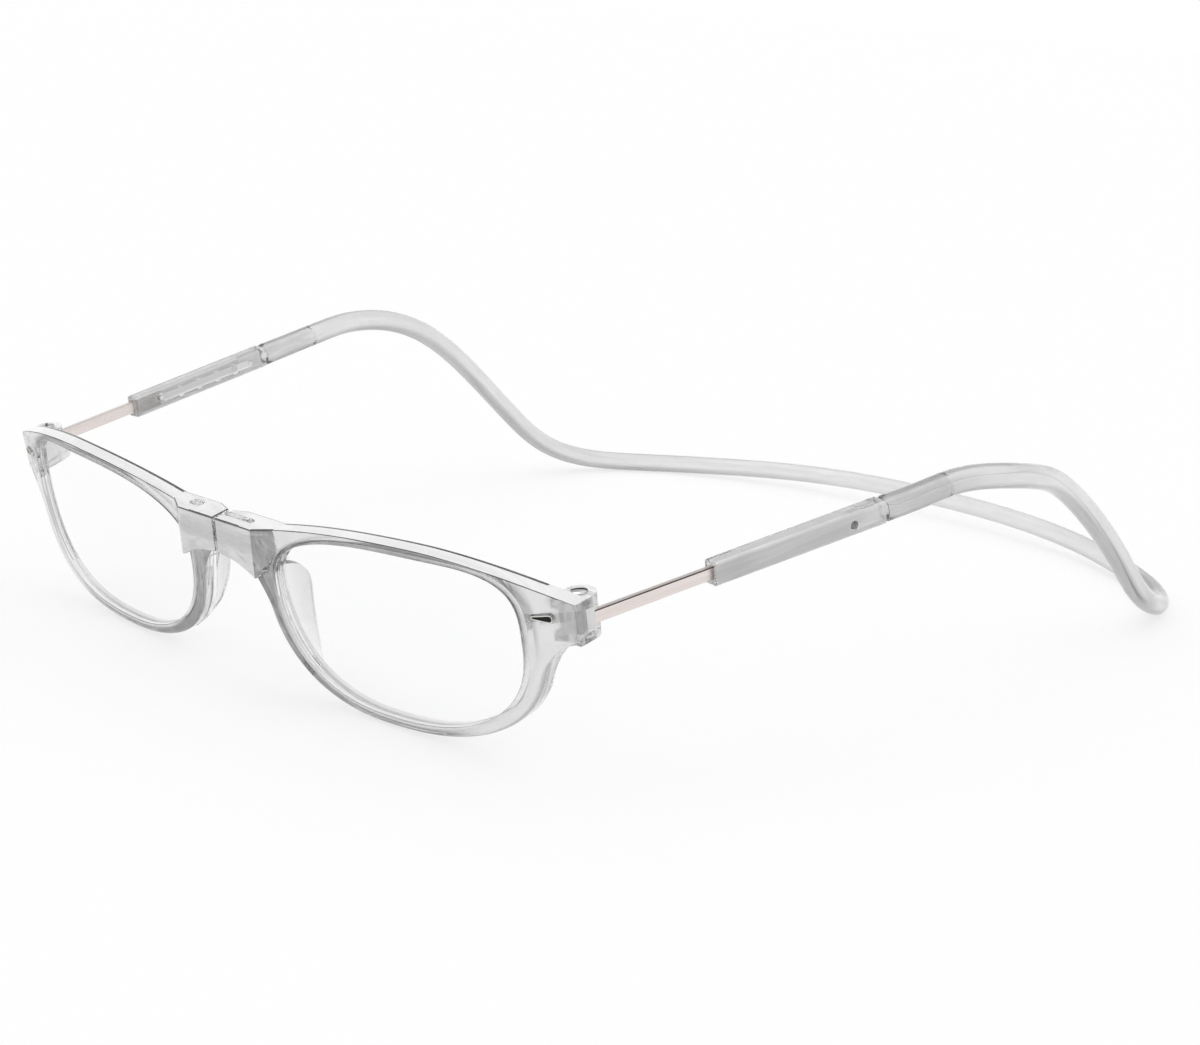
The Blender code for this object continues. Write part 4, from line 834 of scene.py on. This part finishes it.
def smooth_through(points, step):
    """Points along the natural cubic spline through the given ones."""
    points = np.array(points)
    knots = run_along(points)
    n = len(points)
    h = np.diff(knots)
    system = np.zeros((n, n))
    right = np.zeros((n, 3))
    system[0, 0] = system[-1, -1] = 1.0
    for i in range(1, n - 1):
        system[i, i - 1:i + 2] = h[i - 1], 2 * (h[i - 1] + h[i]), h[i]
        right[i] = 6 * ((points[i + 1] - points[i]) / h[i] - (points[i] - points[i - 1]) / h[i - 1])
    bend = np.linalg.solve(system, right)
    out = []
    for s in np.linspace(0.0, knots[-1], max(2, round(knots[-1] / step)) + 1):
        i = min(n - 2, int(np.searchsorted(knots, s, side="right")) - 1)
        a = (knots[i + 1] - s) / h[i]
        b = (s - knots[i]) / h[i]
        curve = ((a ** 3 - a) * bend[i] + (b ** 3 - b) * bend[i + 1]) * h[i] ** 2 / 6
        out.append(a * points[i] + b * points[i + 1] + curve)
    return np.array(out)


def side_route(side, lift):
    """Centre line of one side, from its sleeve to the nape."""
    flip = np.array([side, 1.0, 1.0])
    route = [np.array(ARM @ Vector((0.0, SLEEVE_END + GAP + d, 0.0))) * flip
             for d in (0.0, BAND_STRAIGHT / 2, BAND_STRAIGHT)]
    for across, back, down in BAND_ROUTE:
        y = back * BAND_DEPTH
        near = min(1.0, abs(y - CROWN_Y) / CROWN_REACH)
        rise = lift * math.cos(near * QUARTER) ** 2
        route.append(np.array((side * across * EAR_HALF_WIDTH, y, rise - down * BAND_DROP)))
    return route


def neck_band():
    """A round tube lofted along the route, its sections carried without twist. Also gives its
    centre line, with the directions above it and out of it at each point."""
    line = smooth_through(side_route(1, LEFT_CROWN_LIFT)
                          + side_route(-1, RIGHT_CROWN_LIFT)[-2::-1], BAND_STEP)
    last = len(line) - 1
    ahead = np.gradient(line, axis=0)
    ahead /= np.linalg.norm(ahead, axis=1)[:, None]
    above = np.array([0.0, 0.0, 1.0])
    rings = []
    carried = []
    for i, (centre, forward) in enumerate(zip(line, ahead)):
        above = above - forward * (above @ forward)
        above /= np.linalg.norm(above)
        out = np.cross(forward, above)
        carried.append((above, out))
        from_end = 1 - abs(2 * i / last - 1)
        radius = (BAND_START_DIAMETER + (BAND_NAPE_DIAMETER - BAND_START_DIAMETER) * from_end) / 2
        radius -= 0.0 if 0 < i < last else BAND_EDGE
        rings.append([centre + radius * (math.cos(t) * above + math.sin(t) * out)
                      for t in np.linspace(0, 2 * math.pi, ROUND, endpoint=False)])
    body = ring_loft(rings, closed=False, lids=True)
    sockets = []
    for side in (1, -1):
        socket = moved(bar(1, ORIGIN, SPIGOT_DIAMETER / 2 + GAP, SLEEVE_END - MM,
                           SLEEVE_END + SPIGOT_LENGTH + GAP, 40), ARM)
        sockets.append(socket if side > 0 else mirrored(socket))
    body = combine(body, sockets, "DIFFERENCE")
    return body, (line, *(np.array(v) for v in zip(*carried)))


def unrolled(points, line, above, out):
    """Coordinates along the band (Y) and across it (X out, Z up), as if it were pulled straight."""
    nearest = np.empty(len(points), dtype=int)
    for first in range(0, len(points), 2000):
        part = points[first:first + 2000]
        gaps = ((part[:, None, :] - line[None, :, :]) ** 2).sum(axis=2)
        nearest[first:first + 2000] = gaps.argmin(axis=1)
    offset = points - line[nearest]
    return np.stack([(offset * out[nearest]).sum(axis=1), run_along(line)[nearest],
                     (offset * above[nearest]).sum(axis=1)], axis=1)


# --- materials ---
def grey(value, blue=0.0):
    return (value, value, value + blue)


class Nodes:
    """Short hand for building one node tree."""

    def __init__(self, owner, output="Material"):
        owner.use_nodes = True
        self.owner = owner
        self.tree = owner.node_tree
        self.tree.nodes.clear()
        self.out = self.tree.nodes.new("ShaderNodeOutput" + output)

    def add(self, kind, inputs=None, output=0, **settings):
        """One output of a new node, each of whose inputs is a value or another node's output."""
        node = self.tree.nodes.new("ShaderNode" + kind)
        for key, value in settings.items():
            setattr(node, key, value)
        for key, given in (inputs or {}).items():
            place = node.inputs[key]
            if isinstance(given, bpy.types.NodeSocket):
                self.tree.links.new(given, place)
            else:
                place.default_value = (*given, 1.0) if place.type == "RGBA" else given
        return node.outputs[output]

    def surface(self, shader):
        self.tree.links.new(shader, self.out.inputs["Surface"])

    def attribute(self, name, output="Fac"):
        return self.add("Attribute", output=output, attribute_name=name)

    def axis(self, name, source=None):
        source = source or self.attribute("local", "Vector")
        return self.add("SeparateXYZ", {0: source}, name)

    def ray(self, kind):
        return self.add("LightPath", output=f"Is {kind} Ray")

    def noise(self, scale, detail=4.0, rough=0.5, distortion=0.0):
        """Noise in the piece's own coordinates, with its scale per millimetre, on each axis if
        three are given."""
        place = self.add("Mapping", {
            "Vector": self.attribute("local", "Vector"), "Scale": np.broadcast_to(scale, 3) / MM})
        return self.add("TexNoise", {"Vector": place, "Scale": 1.0, "Detail": detail,
                                               "Roughness": rough, "Distortion": distortion})

    def ramp(self, source, stops):
        colour = self.add("ValToRGB", {"Fac": source})
        elements = colour.node.color_ramp.elements
        while len(elements) < len(stops):
            elements.new(0.5)
        for element, (place, given) in zip(elements, stops):
            element.position = place
            element.color = (*given, 1.0)
        return colour

    def span(self, source, low, high, start=0.3, end=0.7):
        """low where the source is at start, high where it is at end."""
        return self.add("MapRange", {
            "Value": source, "From Min": start, "From Max": end, "To Min": low, "To Max": high})

    def mix(self, factor, first, second, blend="MIX"):
        return self.add("Mix", {"Factor": factor, "A": first, "B": second}, "Result",
                        data_type="RGBA", blend_type=blend)

    def math(self, operation, *values):
        return self.add("Math", dict(enumerate(values)), operation=operation)

    def times(self, *values):
        return functools.reduce(lambda a, b: self.math("MULTIPLY", a, b), values)

    def bump(self, source, ripple):
        return self.add("Bump", {
            "Height": source, "Strength": 1.0, "Distance": ripple * MICRON})


LOW_SHADE_Z = -13 * MM, -19 * MM      # the shade along the rim's outer edge grows between these,
LOW_SHADE_LIFT = -9 * MM              # begins this much higher up on the nose side
LOW_SHADE_NOSE_X = 22 * MM, 30 * MM
LOW_SHADE_END_X = 42 * MM, 50 * MM    # and has gone towards the temple here
HIGH_SHADE_Z = -15 * MM, -9 * MM      # the shade along the opening grows between these


def rim_shade(n, streaks):
    """Where a front face is darker: along the opening above, along the outer edge below."""
    away = n.attribute("shade")
    nose = n.span(n.axis("X"), 1.0, 0.0, *LOW_SHADE_NOSE_X)
    height = n.math("MULTIPLY_ADD", nose, LOW_SHADE_LIFT, n.axis("Z"))
    outer = n.times(n.span(height, 0.0, 1.0, *LOW_SHADE_Z),
                    n.span(n.axis("X"), 0.85, 0.0, *LOW_SHADE_END_X),
                    n.span(away, 0.0, 1.0, 0.3, 0.8))
    inner = n.times(n.span(n.axis("Z"), 0.0, 1.0, *HIGH_SHADE_Z), n.span(away, 0.9, 0.0, 0.5, 1.3))
    return n.times(n.math("MAXIMUM", outer, inner), n.span(streaks, 0.75, 1.0, 0.35, 0.6),
                   n.attribute("tone"))


def clear_plastic(name, clear, streak, rough, scale, ripple=4, body=1.0, ior=1.42, shadow=0.95,
                  face=None, dark=None, rounding=None):
    """Transparent moulded plastic with painted shade: darker on its broad faces than on its edges,
    with the dark colour painted where a shade is kept and painted dark reflections in the rounding
    colour along rounded edges, if these are given; also flow streaks, a varying polish, faint
    ripples and, where body is below 1, a little milkiness."""
    n = Nodes(bpy.data.materials.new(name))
    # painted shade: broad faces take the face colour
    tint = n.mix(n.attribute("tone"), clear, face or clear)
    streaks = n.noise(scale, 5.0, 0.6, 0.6)
    if rounding:
        # painted shade along the rim's opening and outer edge, then painted dark reflections on its
        # rounded edges
        tint = n.mix(rim_shade(n, streaks), tint, dark)
        tint = n.mix(n.attribute("edge"), tint, rounding)
    elif dark:
        # painted shade where the piece keeps a shade
        tint = n.mix(n.times(n.attribute("shade"), n.span(streaks, 0.6, 1.0)), tint, dark)
    flow = n.ramp(streaks, [(0.36, grey(streak)), (0.62, grey(1.0))])
    polish = n.noise(np.multiply(scale, 2.3), 3.0)
    waves = n.noise(np.multiply(scale, 0.7), 2.0)
    shader = n.add("BsdfPrincipled", {
        "Base Color": n.mix(1.0, tint, flow, "MULTIPLY"), "Roughness": n.span(polish, *rough),
        "IOR": ior, "Transmission Weight": body, "Normal": n.bump(waves, ripple)})
    through = n.add("BsdfTransparent", {"Color": grey(shadow)})
    n.surface(n.add("MixShader", {"Fac": n.ray("Shadow"), 1: shader, 2: through}))
    return n.owner


def metal(name, low, high, rough, grain=2.0, ripple=3, anisotropic=0.0, metallic=1.0):
    """Metal with grain along its length, tone variation and worn patches."""
    n = Nodes(bpy.data.materials.new(name))
    tone = n.noise(np.multiply(grain, 0.35), 4.0, 0.6)
    brush = n.noise(grain, 3.0, 0.7)
    n.surface(n.add("BsdfPrincipled", {
        "Base Color": n.ramp(tone, [(0.3, low), (0.7, high)]), "Metallic": metallic,
        "Roughness": n.span(brush, *rough), "Anisotropic": anisotropic,
        "Normal": n.bump(brush, ripple)}))
    return n.owner


# name, colour (a darker one painted on broad faces as shade, if given), streaks, range of
# roughness, grain, ripple
# the frame: painted shade on broad faces, along the opening and along the outer edge, and painted
# dark reflections on its rounded edges
frame_plastic = clear_plastic(
    "moulded_polycarbonate", grey(0.99), 0.97, (0.01, 0.06), 0.3, 6,
    face=grey(0.8, 0.002), dark=grey(0.2, 0.005), rounding=grey(0.4, 0.005))
ground_plastic = clear_plastic("cut_groove", grey(0.97), 0.95, (0.08, 0.14), 1.5)
# the front faces: a milkier copy of the frame's plastic, with painted shade on them, along the
# opening and along the outer edge, and painted dark reflections on the rounded edges
face_plastic = clear_plastic(
    "front_face", grey(0.97), 0.94, (0.02, 0.08), 0.3, 6, 0.72,
    face=grey(0.88, 0.002), dark=grey(0.16, 0.005), rounding=grey(0.4, 0.005))
bridge_plastic = clear_plastic("bridge_front", grey(0.98), 0.86, (0.08, 0.14), (0.25, 0.5, 0.9),
                               6, 0.2)
# painted shade: the bridge's side ramp takes a darker copy of the plastic
ramp_shade_plastic = clear_plastic("bridge_ramp_painted_shade", grey(0.6, 0.005), 0.72, (0.05, 0.12),
                             (0.9, 0.9, 0.25), 6, 0.35)
# painted light: a milky white copy for the brow's top, the lower rim's inner wall along the opening
# and the sleeve's slot
painted_light_plastic = clear_plastic("painted_light_white", grey(1.0), 0.97, (0.05, 0.12), 0.3, body=0.2)
# painted dark reflections along the brow's edges, the endpiece and the lower rim's rear rounding
painted_reflection_plastic = clear_plastic("painted_dark_reflections", grey(0.1, 0.005), 0.6, (0.05, 0.12), 0.3, body=0.35)
hinge_plastic = clear_plastic("hinge_recess", grey(1.0), 0.9, (0.08, 0.14), 0.6, body=0.6)
# the spigot and the socket round it all but vanish, as in the photo
spigot_plastic = clear_plastic("spigot_polycarbonate", grey(1.0), 0.88, (0.03, 0.1),
                               (0.7, 0.1, 0.7), ior=1.08)
# painted shade on the cover's broad faces
cover_plastic = clear_plastic("cover_polycarbonate", grey(0.97), 0.94, (0.04, 0.12),
                              0.5, body=0.95, face=grey(0.9))
# a faint painted shade on the lens's broad faces
lens_resin = clear_plastic("lens_resin", (0.995, 0.997, 0.997), 0.995, (0.0, 0.006), 0.05, 0.5,
                           ior=1.5, shadow=0.985, face=(0.99, 0.992, 0.992))
lens_edge = clear_plastic("ground_lens_edge", grey(0.93, 0.005), 0.93, (0.08, 0.14), 1.5,
                          body=0.95, ior=1.5)
# painted shade on the sleeve over its channel's height and painted dark reflections along its outer
# edges; its outer face is a milkier copy with the same
sleeve_plastic = clear_plastic("sleeve_polycarbonate", grey(0.98), 0.84, (0.04, 0.13),
                               (0.7, 0.06, 0.9), 2, 0.76, dark=grey(0.72, 0.005))
sleeve_face = clear_plastic("sleeve_outer_face", grey(0.96, 0.002), 0.86, (0.08, 0.14),
                            (0.7, 0.06, 0.9), 2, 0.35, dark=grey(0.78, 0.005))
# painted shade along the band's underside, painted dark reflections along its top and in its lower
# left bend
band_plastic = clear_plastic("flexible_band_plastic", grey(0.86), 0.86, (0.04, 0.13),
                             (0.7, 0.05, 0.7), 2, 0.9, dark=grey(0.26, 0.005))
strip_metal = metal("champagne_strip", (0.74, 0.665, 0.64), (0.82, 0.755, 0.73), (0.22, 0.36),
                    (3.0, 0.12, 3.0), 4, 0.4)
# painted dark reflection on the strip's upper outer corner
corner_reflection_metal = metal("strip_corner_painted_reflection", (0.05, 0.045, 0.043), (0.16, 0.145, 0.14),
                     (0.3, 0.45), (3.0, 0.12, 3.0), 4)
pin_steel = metal("pin_steel", grey(0.1), grey(0.3), (0.2, 0.4))
# painted light: a paler, less metallic copy of the strip's metal for its eye in the hinge recess
eye_light_metal = metal("strip_eye_painted_light", (0.86, 0.855, 0.85), (0.93, 0.925, 0.92), (0.35, 0.5),
                  metallic=0.25)
steel = metal("polished_steel", grey(0.6, 0.01), grey(0.72, 0.01), (0.12, 0.26))
nickel = metal("nickel_plate", grey(0.9, 0.005), grey(0.97, -0.01), (0.45, 0.6), 1.2, 4,
               metallic=0.4)
trim = metal("rivet_border", (0.6, 0.59, 0.55), (0.76, 0.75, 0.71), (0.12, 0.25))
# the rivet's own dark face, and painted shade in the screw's slot
enamel_and_slot_shade = metal("rivet_face_and_slot_shade", grey(0.012, 0.001), grey(0.03), (0.1, 0.22))


# --- which material each face takes: rules from its centre and normal to a place in the list ---
# TOP takes painted light, LINE painted dark reflections, RAMP painted shade and FACE a copy with
# painted shade
FRAME, GROOVE, FACE, BRIDGE, RAMP, RECESS, TOP, LINE = range(8)
LOW_Z = -12 * MM              # the sides of the rim below this take other rules than the brow
WHITE_WALL_X = 54 * MM        # end of the lower rim's inner wall painted white as light
UPPER_LINE_Z = -7 * MM        # end of the painted dark reflection along the endpiece
ON_LINE = 0.02 * MM
OPENING_TURNS = np.linspace(-math.pi, math.pi, 721)
OPENING_REACH = [ray_length(opening_outline(60), turn) for turn in OPENING_TURNS]


def from_opening(points):
    """Distance of points from the lens opening, seen from the front, in millimetres."""
    x, z = points[..., 0] - FACE_CENTRE[0], points[..., 2] - FACE_CENTRE[1]
    return (np.hypot(x, z) - np.interp(np.arctan2(z, x), OPENING_TURNS, OPENING_REACH)) / MM


def paint_front(centre, normal):
    x, y, z = centre
    behind = y - sweep_back(x)
    apart = from_opening(np.array(centre))
    low = z < LOW_Z
    # painted light on the lower rim's inner wall along the opening
    if (low and apart < 0.06 and x < WHITE_WALL_X and 0.0 < behind < RIM_DEPTH
            and abs(normal.y) < 0.3):
        return TOP
    if (math.hypot(x - HINGE_X, y - HINGE_Y) < KNUCKLE_RADIUS + GAP * 1.2
            and KNUCKLE_BOTTOM_Z < z < KNUCKLE_TOP_Z):
        return RECESS
    # painted light on the brow's top, with a painted dark reflection along its rear
    if z > LOW_Z and normal.z > 0.85:
        rear = sweep_back(x) + core_depth(x) - BACK_EDGE - REAR_LINE
        if x < BRIDGE_FLAT_X:
            rear = bridge_back(x) - BRIDGE_EDGE
        return LINE if x < HINGE_X - KNUCKLE_RADIUS and y > rear - ON_LINE else TOP
    # painted dark reflection along the front top edge and the endpiece
    if behind < RIM_DEPTH + 0.1 * MM and z > UPPER_LINE_Z and x < HINGE_X and normal.z > 0.2:
        return LINE
    # painted dark reflection along the lower rim's rear rounding
    if low and behind > RIM_DEPTH * 0.8 and normal.z > 0.2 and 0.2 < normal.y < 0.95:
        return LINE
    # painted shade on the bridge's side ramp, and on the front faces, which take a milkier copy
    if x < BRIDGE_RAMP_X and y < 0.0 and normal.y < -0.45:
        if x > BRIDGE_FLAT_X + BRIDGE_EDGE / 2:
            return RAMP
        if y < BRIDGE_FRONT_Y / 2 and normal.y < -0.9:
            return BRIDGE
    elif behind < (0.7 if low else 0.4) * MM and normal.y < (-0.3 if low else -0.8):
        return FACE
    edge = (RIM_DEPTH - GROOVE_WIDTH) / 2 - 0.01 * MM
    cut = (edge < behind < edge + GROOVE_WIDTH + ON_LINE and x > OPENING_NOSE_X - 2 * MM
           and 0.08 < apart < GROOVE_DEPTH / MM + 0.05)
    return GROOVE if cut else FRAME


def paint_lens(centre, normal):
    """1 on the ground edge."""
    return int(from_opening(np.array(centre)) > 0.05)


def paint_rivet(centre, normal):
    """1 on the dished face."""
    place = TO_RIVET @ centre
    on_floor = RIVET_PROUD - 0.12 * MM < place.z < RIVET_PROUD - 0.02 * MM
    within = abs(place.y) < RIVET_HEIGHT / 2 - 0.15 * MM
    return int(on_floor and within and (TO_RIVET.to_3x3() @ normal).z > 0.3)


def paint_screw(centre, normal):
    """1 in the screwdriver's slot, which is painted dark as shade."""
    x, y, z = centre
    aside = (y - HINGE_Y) * math.cos(SCREW_SLOT_TURN) - (x - HINGE_X) * math.sin(SCREW_SLOT_TURN)
    return int(z > KNUCKLE_TOP_Z + 0.12 * MM and abs(aside) < SCREW_SLOT * 0.51)


def paint_strip(centre, normal):
    """1 on the eye round the hinge screw, which takes painted light, 2 on the upper outer corner,
    which takes a painted dark reflection.
    """
    away = centre - TO_ARM @ Vector(HINGE)
    if math.hypot(away.x, away.y) < KNUCKLE_RADIUS * 1.1:
        return 1
    return 2 if centre.z > 0.0 and min(normal.x, normal.z) > 0.2 else 0


def paint_sleeve(centre, normal):
    """1 on the spigot, 2 on the outer face, which takes painted shade, 3 in the slot and on the
    wall seen through it, which take painted light.
    """
    x, y, z = centre
    if y > SLEEVE_END + ON_LINE:
        return 1
    if x > STRIP_THICKNESS and normal.x > 0.5:
        return 2
    inside = SLEEVE_START + MM < y < SLEEVE_END - MM and abs(z) < STRIP_HEIGHT / 2 + GAP * 1.1
    wall = normal.x < -0.9 or abs(normal.x) < 0.1
    return 3 if inside and wall and -SLEEVE_FRONT_WIDTH / 2 < x < STRIP_THICKNESS else 0


def paint_band(centre, normal):
    """1 on the walls of the two sockets."""
    x, y, z = centre
    place = TO_ARM @ Vector((abs(x), y, z))
    return int(math.hypot(place.x, place.z) < SPIGOT_DIAMETER / 2 + GAP * 1.1
               and place.y < SLEEVE_END + SPIGOT_LENGTH + GAP * 2)


# --- shades, kept per point ---
def sleeve_shade(points):
    """Painted shade, 1 over the height of the strip's channel, and painted dark reflections, 1
    along the outer edges, 0 in between.
    """
    height = np.abs(points[:, 2]) / MM
    return np.maximum(grown(height, 1.5, 1.2), grown(height, 1.9, 2.0))


BEND_REFLECTION_RUN = 124 * MM         # the painted dark reflection in the lower left bend: how far along the band,
BEND_REFLECTION_REACH = 9 * MM         # its length each way from there,
BEND_REFLECTION_TURN = 145             # where it lies round the tube, and its width, in degrees
BEND_REFLECTION_SPREAD = 26
PALE_NAPE_X = 70 * MM         # the painted shade along the underside and the line along the top fade towards the nape from here


def band_shade(points):
    """Painted shade, 1 along the underside of the band, and a painted dark reflection in a thin
    line along its top, both less towards the nape, and 1 in a short painted dark reflection
    inside its lower left bend."""
    flat = unrolled(points, *band_line)
    height = flat[:, 2] / np.maximum(1e-6, np.hypot(flat[:, 0], flat[:, 2]))
    lines = np.maximum(grown(-height, 0.25, 0.65), 0.8 * grown(height, 0.88, 0.96))
    lines *= np.clip(np.abs(points[:, 0]) / PALE_NAPE_X, 0.25, 1.0)
    along = np.abs(flat[:, 1] - BEND_REFLECTION_RUN) / BEND_REFLECTION_REACH
    turn = np.abs(np.degrees(np.arctan2(flat[:, 2], flat[:, 0])) - BEND_REFLECTION_TURN) / BEND_REFLECTION_SPREAD
    return np.maximum(lines, grown(along, 1.6, 0.6) * grown(turn, 1.6, 0.6))


# --- assembly ---
STEEPEST = 0.6                # slope of the swept face, at most, when a point's facing is judged
NORMAL_WEIGHT = 80


def per_point(mesh, what):
    values = np.empty(len(mesh.vertices) * 3)
    mesh.vertices.foreach_get(what, values)
    return values.reshape(-1, 3)


def keep(mesh, name, values):
    """Keeps a value, or a vector, for each point as an attribute."""
    kind, key = ("FLOAT", "value") if values.ndim == 1 else ("FLOAT_VECTOR", "vector")
    mesh.attributes.new(name, kind, "POINT").data.foreach_set(key, values.ravel())


def dress(obj, name, side, body, node, slot, materials, paint=None, shaded=None, laid=None,
          from_arm=False, weighted=True):
    """Names a piece, keeps its own coordinates and shades as attributes, puts it in the row
    frame, gives it its materials and hangs it on its CAD body."""
    mesh = obj.data
    places = per_point(mesh, "co")
    normals = per_point(mesh, "normal")
    painted = [paint(face.center, face.normal) for face in mesh.polygons] if paint else None
    if from_arm:
        facing = np.abs(normals[:, 0])
    else:
        across = np.abs(places[:, 0]) / WRAP_X
        slope = np.minimum(WRAP_POWER * WRAP_DEPTH / WRAP_X * across ** (WRAP_POWER - 1), STEEPEST)
        facing = np.abs(normals[:, 0] * slope - normals[:, 1]) / np.sqrt(1 + slope ** 2)
    keep(mesh, "local", laid(places) if laid else places)
    # painted shade: broad faces, turned to the front and back (to the sides on an arm), take the
    # darker face colour; the rounded edges between take painted dark reflections
    keep(mesh, "tone", grown(facing, 0.4, 0.75))
    keep(mesh, "edge", grown(facing, 0.175, 0.525) * grown(facing, 0.97, 0.82))
    if shaded:
        keep(mesh, "shade", shaded(places))
    if from_arm:
        moved(obj, ARM)
    if side < 0:
        mirrored(obj)
    moved(obj, TO_ROW)
    obj.name = mesh.name = name
    mesh.materials.clear()
    for one in materials:
        mesh.materials.append(one)
    if painted:
        mesh.polygons.foreach_set("material_index", painted)
    mesh.shade_smooth()
    mesh.set_sharp_from_angle(angle=SHARP_ANGLE)
    if weighted:
        step = obj.modifiers.new("normals", "WEIGHTED_NORMAL")
        step.keep_sharp = True
        step.weight = NORMAL_WEIGHT
    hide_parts(node)
    if isinstance(body, str):
        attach(obj, body)
    else:
        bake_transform(obj)


FRONT_MATERIALS = [frame_plastic, ground_plastic, face_plastic, bridge_plastic, ramp_shade_plastic,
                   hinge_plastic, painted_light_plastic, painted_reflection_plastic]
SLEEVE_MATERIALS = [sleeve_plastic, spigot_plastic, sleeve_face, painted_light_plastic]
TO_RIVET = rivet_frame().inverted()

for side, word, cover in ((1, "left", LEFT_PLUG), (-1, "right", RIGHT_PLUG)):
    front, strip = word + "_front", word + "_strip"
    holder = "left_arm" if side > 0 else "band"
    from_arm = {"from_arm": True}
    for made, name, body, node, slot, materials, looks in (
            (front_half(*cover), "rim_and_bridge", front, "front_half", "clear_frame",
             FRONT_MATERIALS, {"paint": paint_front, "shaded": from_opening}),
            (lens(), "reading_lens", front, "lens", "lens", [lens_resin, lens_edge],
             {"paint": paint_lens, "weighted": False}),
            (magnet(), "closing_magnet", front, "magnet", "magnet_metal", [nickel], {}),
            (plug(*cover), "magnet_cover", front, "magnet_plug", "clear_frame",
             [cover_plastic], {}),
            (rivet(), "rivet", front, "trim_rivet", "small_steel", [trim, enamel_and_slot_shade],
             {"paint": paint_rivet}),
            (hinge_screw(), "screw", front, "hinge_screw", "small_steel", [steel, enamel_and_slot_shade],
             {"paint": paint_screw}),
            (temple_strip(), "strip", strip, "temple_strip", "strip_metal",
             [strip_metal, eye_light_metal, corner_reflection_metal], {"paint": paint_strip, **from_arm}),
            (click_stud(), "stud", strip, "click_stud", "small_steel", [steel], from_arm),
            (sleeve(), "sliding_sleeve", holder, "sleeve", "clear_frame", SLEEVE_MATERIALS,
             {"paint": paint_sleeve, "shaded": sleeve_shade, **from_arm}),
            (sleeve_pin(), "pin", holder, "sleeve_pin", "small_steel", [pin_steel], from_arm)):
        dress(made, f"{word}_{name}", side, body, f"{word}_{node}", slot, materials, **looks)

band, band_line = neck_band()
nape = TO_ROW @ Vector((0.0, BAND_DEPTH, -BAND_DROP))
bend = Vector((BAND_BEND, 0.0, 0.0))
dress(band, "flexible_neck_band", 1, ("band", "left_arm", nape - bend, nape + bend), "neck_band",
      "clear_band", [band_plastic, spigot_plastic], paint_band, band_shade,
      lambda points: unrolled(points, *band_line), weighted=False)


# --- floor, light and camera ---
FLOOR_REACH = 6.0
FLOOR_LEVEL = 0.5             # the floor reflects this much and glows this much
FILL_LEVEL = 0.8              # the light from all round
MIRRORED = [(0.0, 1.0), (0.42, 1.0), (0.5, 0.5), (0.74, 0.5), (0.84, 1.0)]
REFRACTED = [(0.0, 1.0), (0.34, 1.0), (0.44, 0.88), (0.7, 0.88), (0.82, 1.0)]


def seen(n):
    """1 for camera, glossy and transmission rays, 0 for the rest."""
    either = n.math("MAXIMUM", n.ray("Camera"), n.ray("Glossy"))
    return n.math("MAXIMUM", either, n.ray("Transmission"))


r = FLOOR_REACH
floor = mesh_object([(-r, -r, 0), (r, -r, 0), (r, r, 0), (-r, r, 0)], [(0, 1, 2, 3)])
floor.name = "floor"
n = Nodes(bpy.data.materials.new("white_paper"))
diffuse = n.add("BsdfDiffuse", {"Color": grey(FLOOR_LEVEL)})
glow = n.add("Emission", {"Color": grey(1.0), "Strength": n.times(seen(n), FLOOR_LEVEL)})
n.surface(n.add("AddShader", {0: diffuse, 1: glow}))
floor.data.materials.append(n.owner)

# the camera sees white; mirrored and refracted rays see a grey band above the horizon
n = Nodes(bpy.data.worlds.new("studio"), "World")
bpy.context.scene.world = n.owner
height = n.axis("Z", n.add("TexCoord", output="Generated"))
mirrored_sky, refracted_sky = (n.ramp(height, [(at, grey(level)) for at, level in stops])
                               for stops in (MIRRORED, REFRACTED))
studio = n.mix(n.ray("Transmission"), mirrored_sky, refracted_sky)
studio = n.mix(n.ray("Camera"), studio, grey(1.0))
studio = n.mix(seen(n), grey(FILL_LEVEL), studio)
n.surface(n.add("Background", {"Color": studio}))

key = bpy.data.lights.new("key", "SUN")
key.energy = 0.68
key.angle = math.radians(50)
linked(key).rotation_euler = (math.radians(20), math.radians(-22), 0.0)

# the photo's camera, in the wearer's frame
camera_data = bpy.data.cameras.new("camera")
camera_data.sensor_fit = "HORIZONTAL"
camera_data.sensor_width = 36.0
camera_data.lens = 67.87
camera_data.clip_start = 0.01
over = Vector((-0.2065, 0.3660, 0.9074))
away = Vector((0.6449, -0.6465, 0.4075)).normalized()
over = (over - over.dot(away) * away).normalized()
eye = Vector((277.619, -193.576, 139.611)) * MM
turn = Matrix((over.cross(away), over, away)).transposed().to_4x4()
camera = linked(camera_data)
camera.matrix_world = TO_ROW @ Matrix.Translation(eye) @ turn
scene = bpy.context.scene
scene.camera = camera
scene.view_settings.view_transform = "Standard"

# rays that cross both hinge knuckles and the rim would otherwise end black
scene.cycles.max_bounces = 32
scene.cycles.glossy_bounces = 16
scene.cycles.transmission_bounces = 32
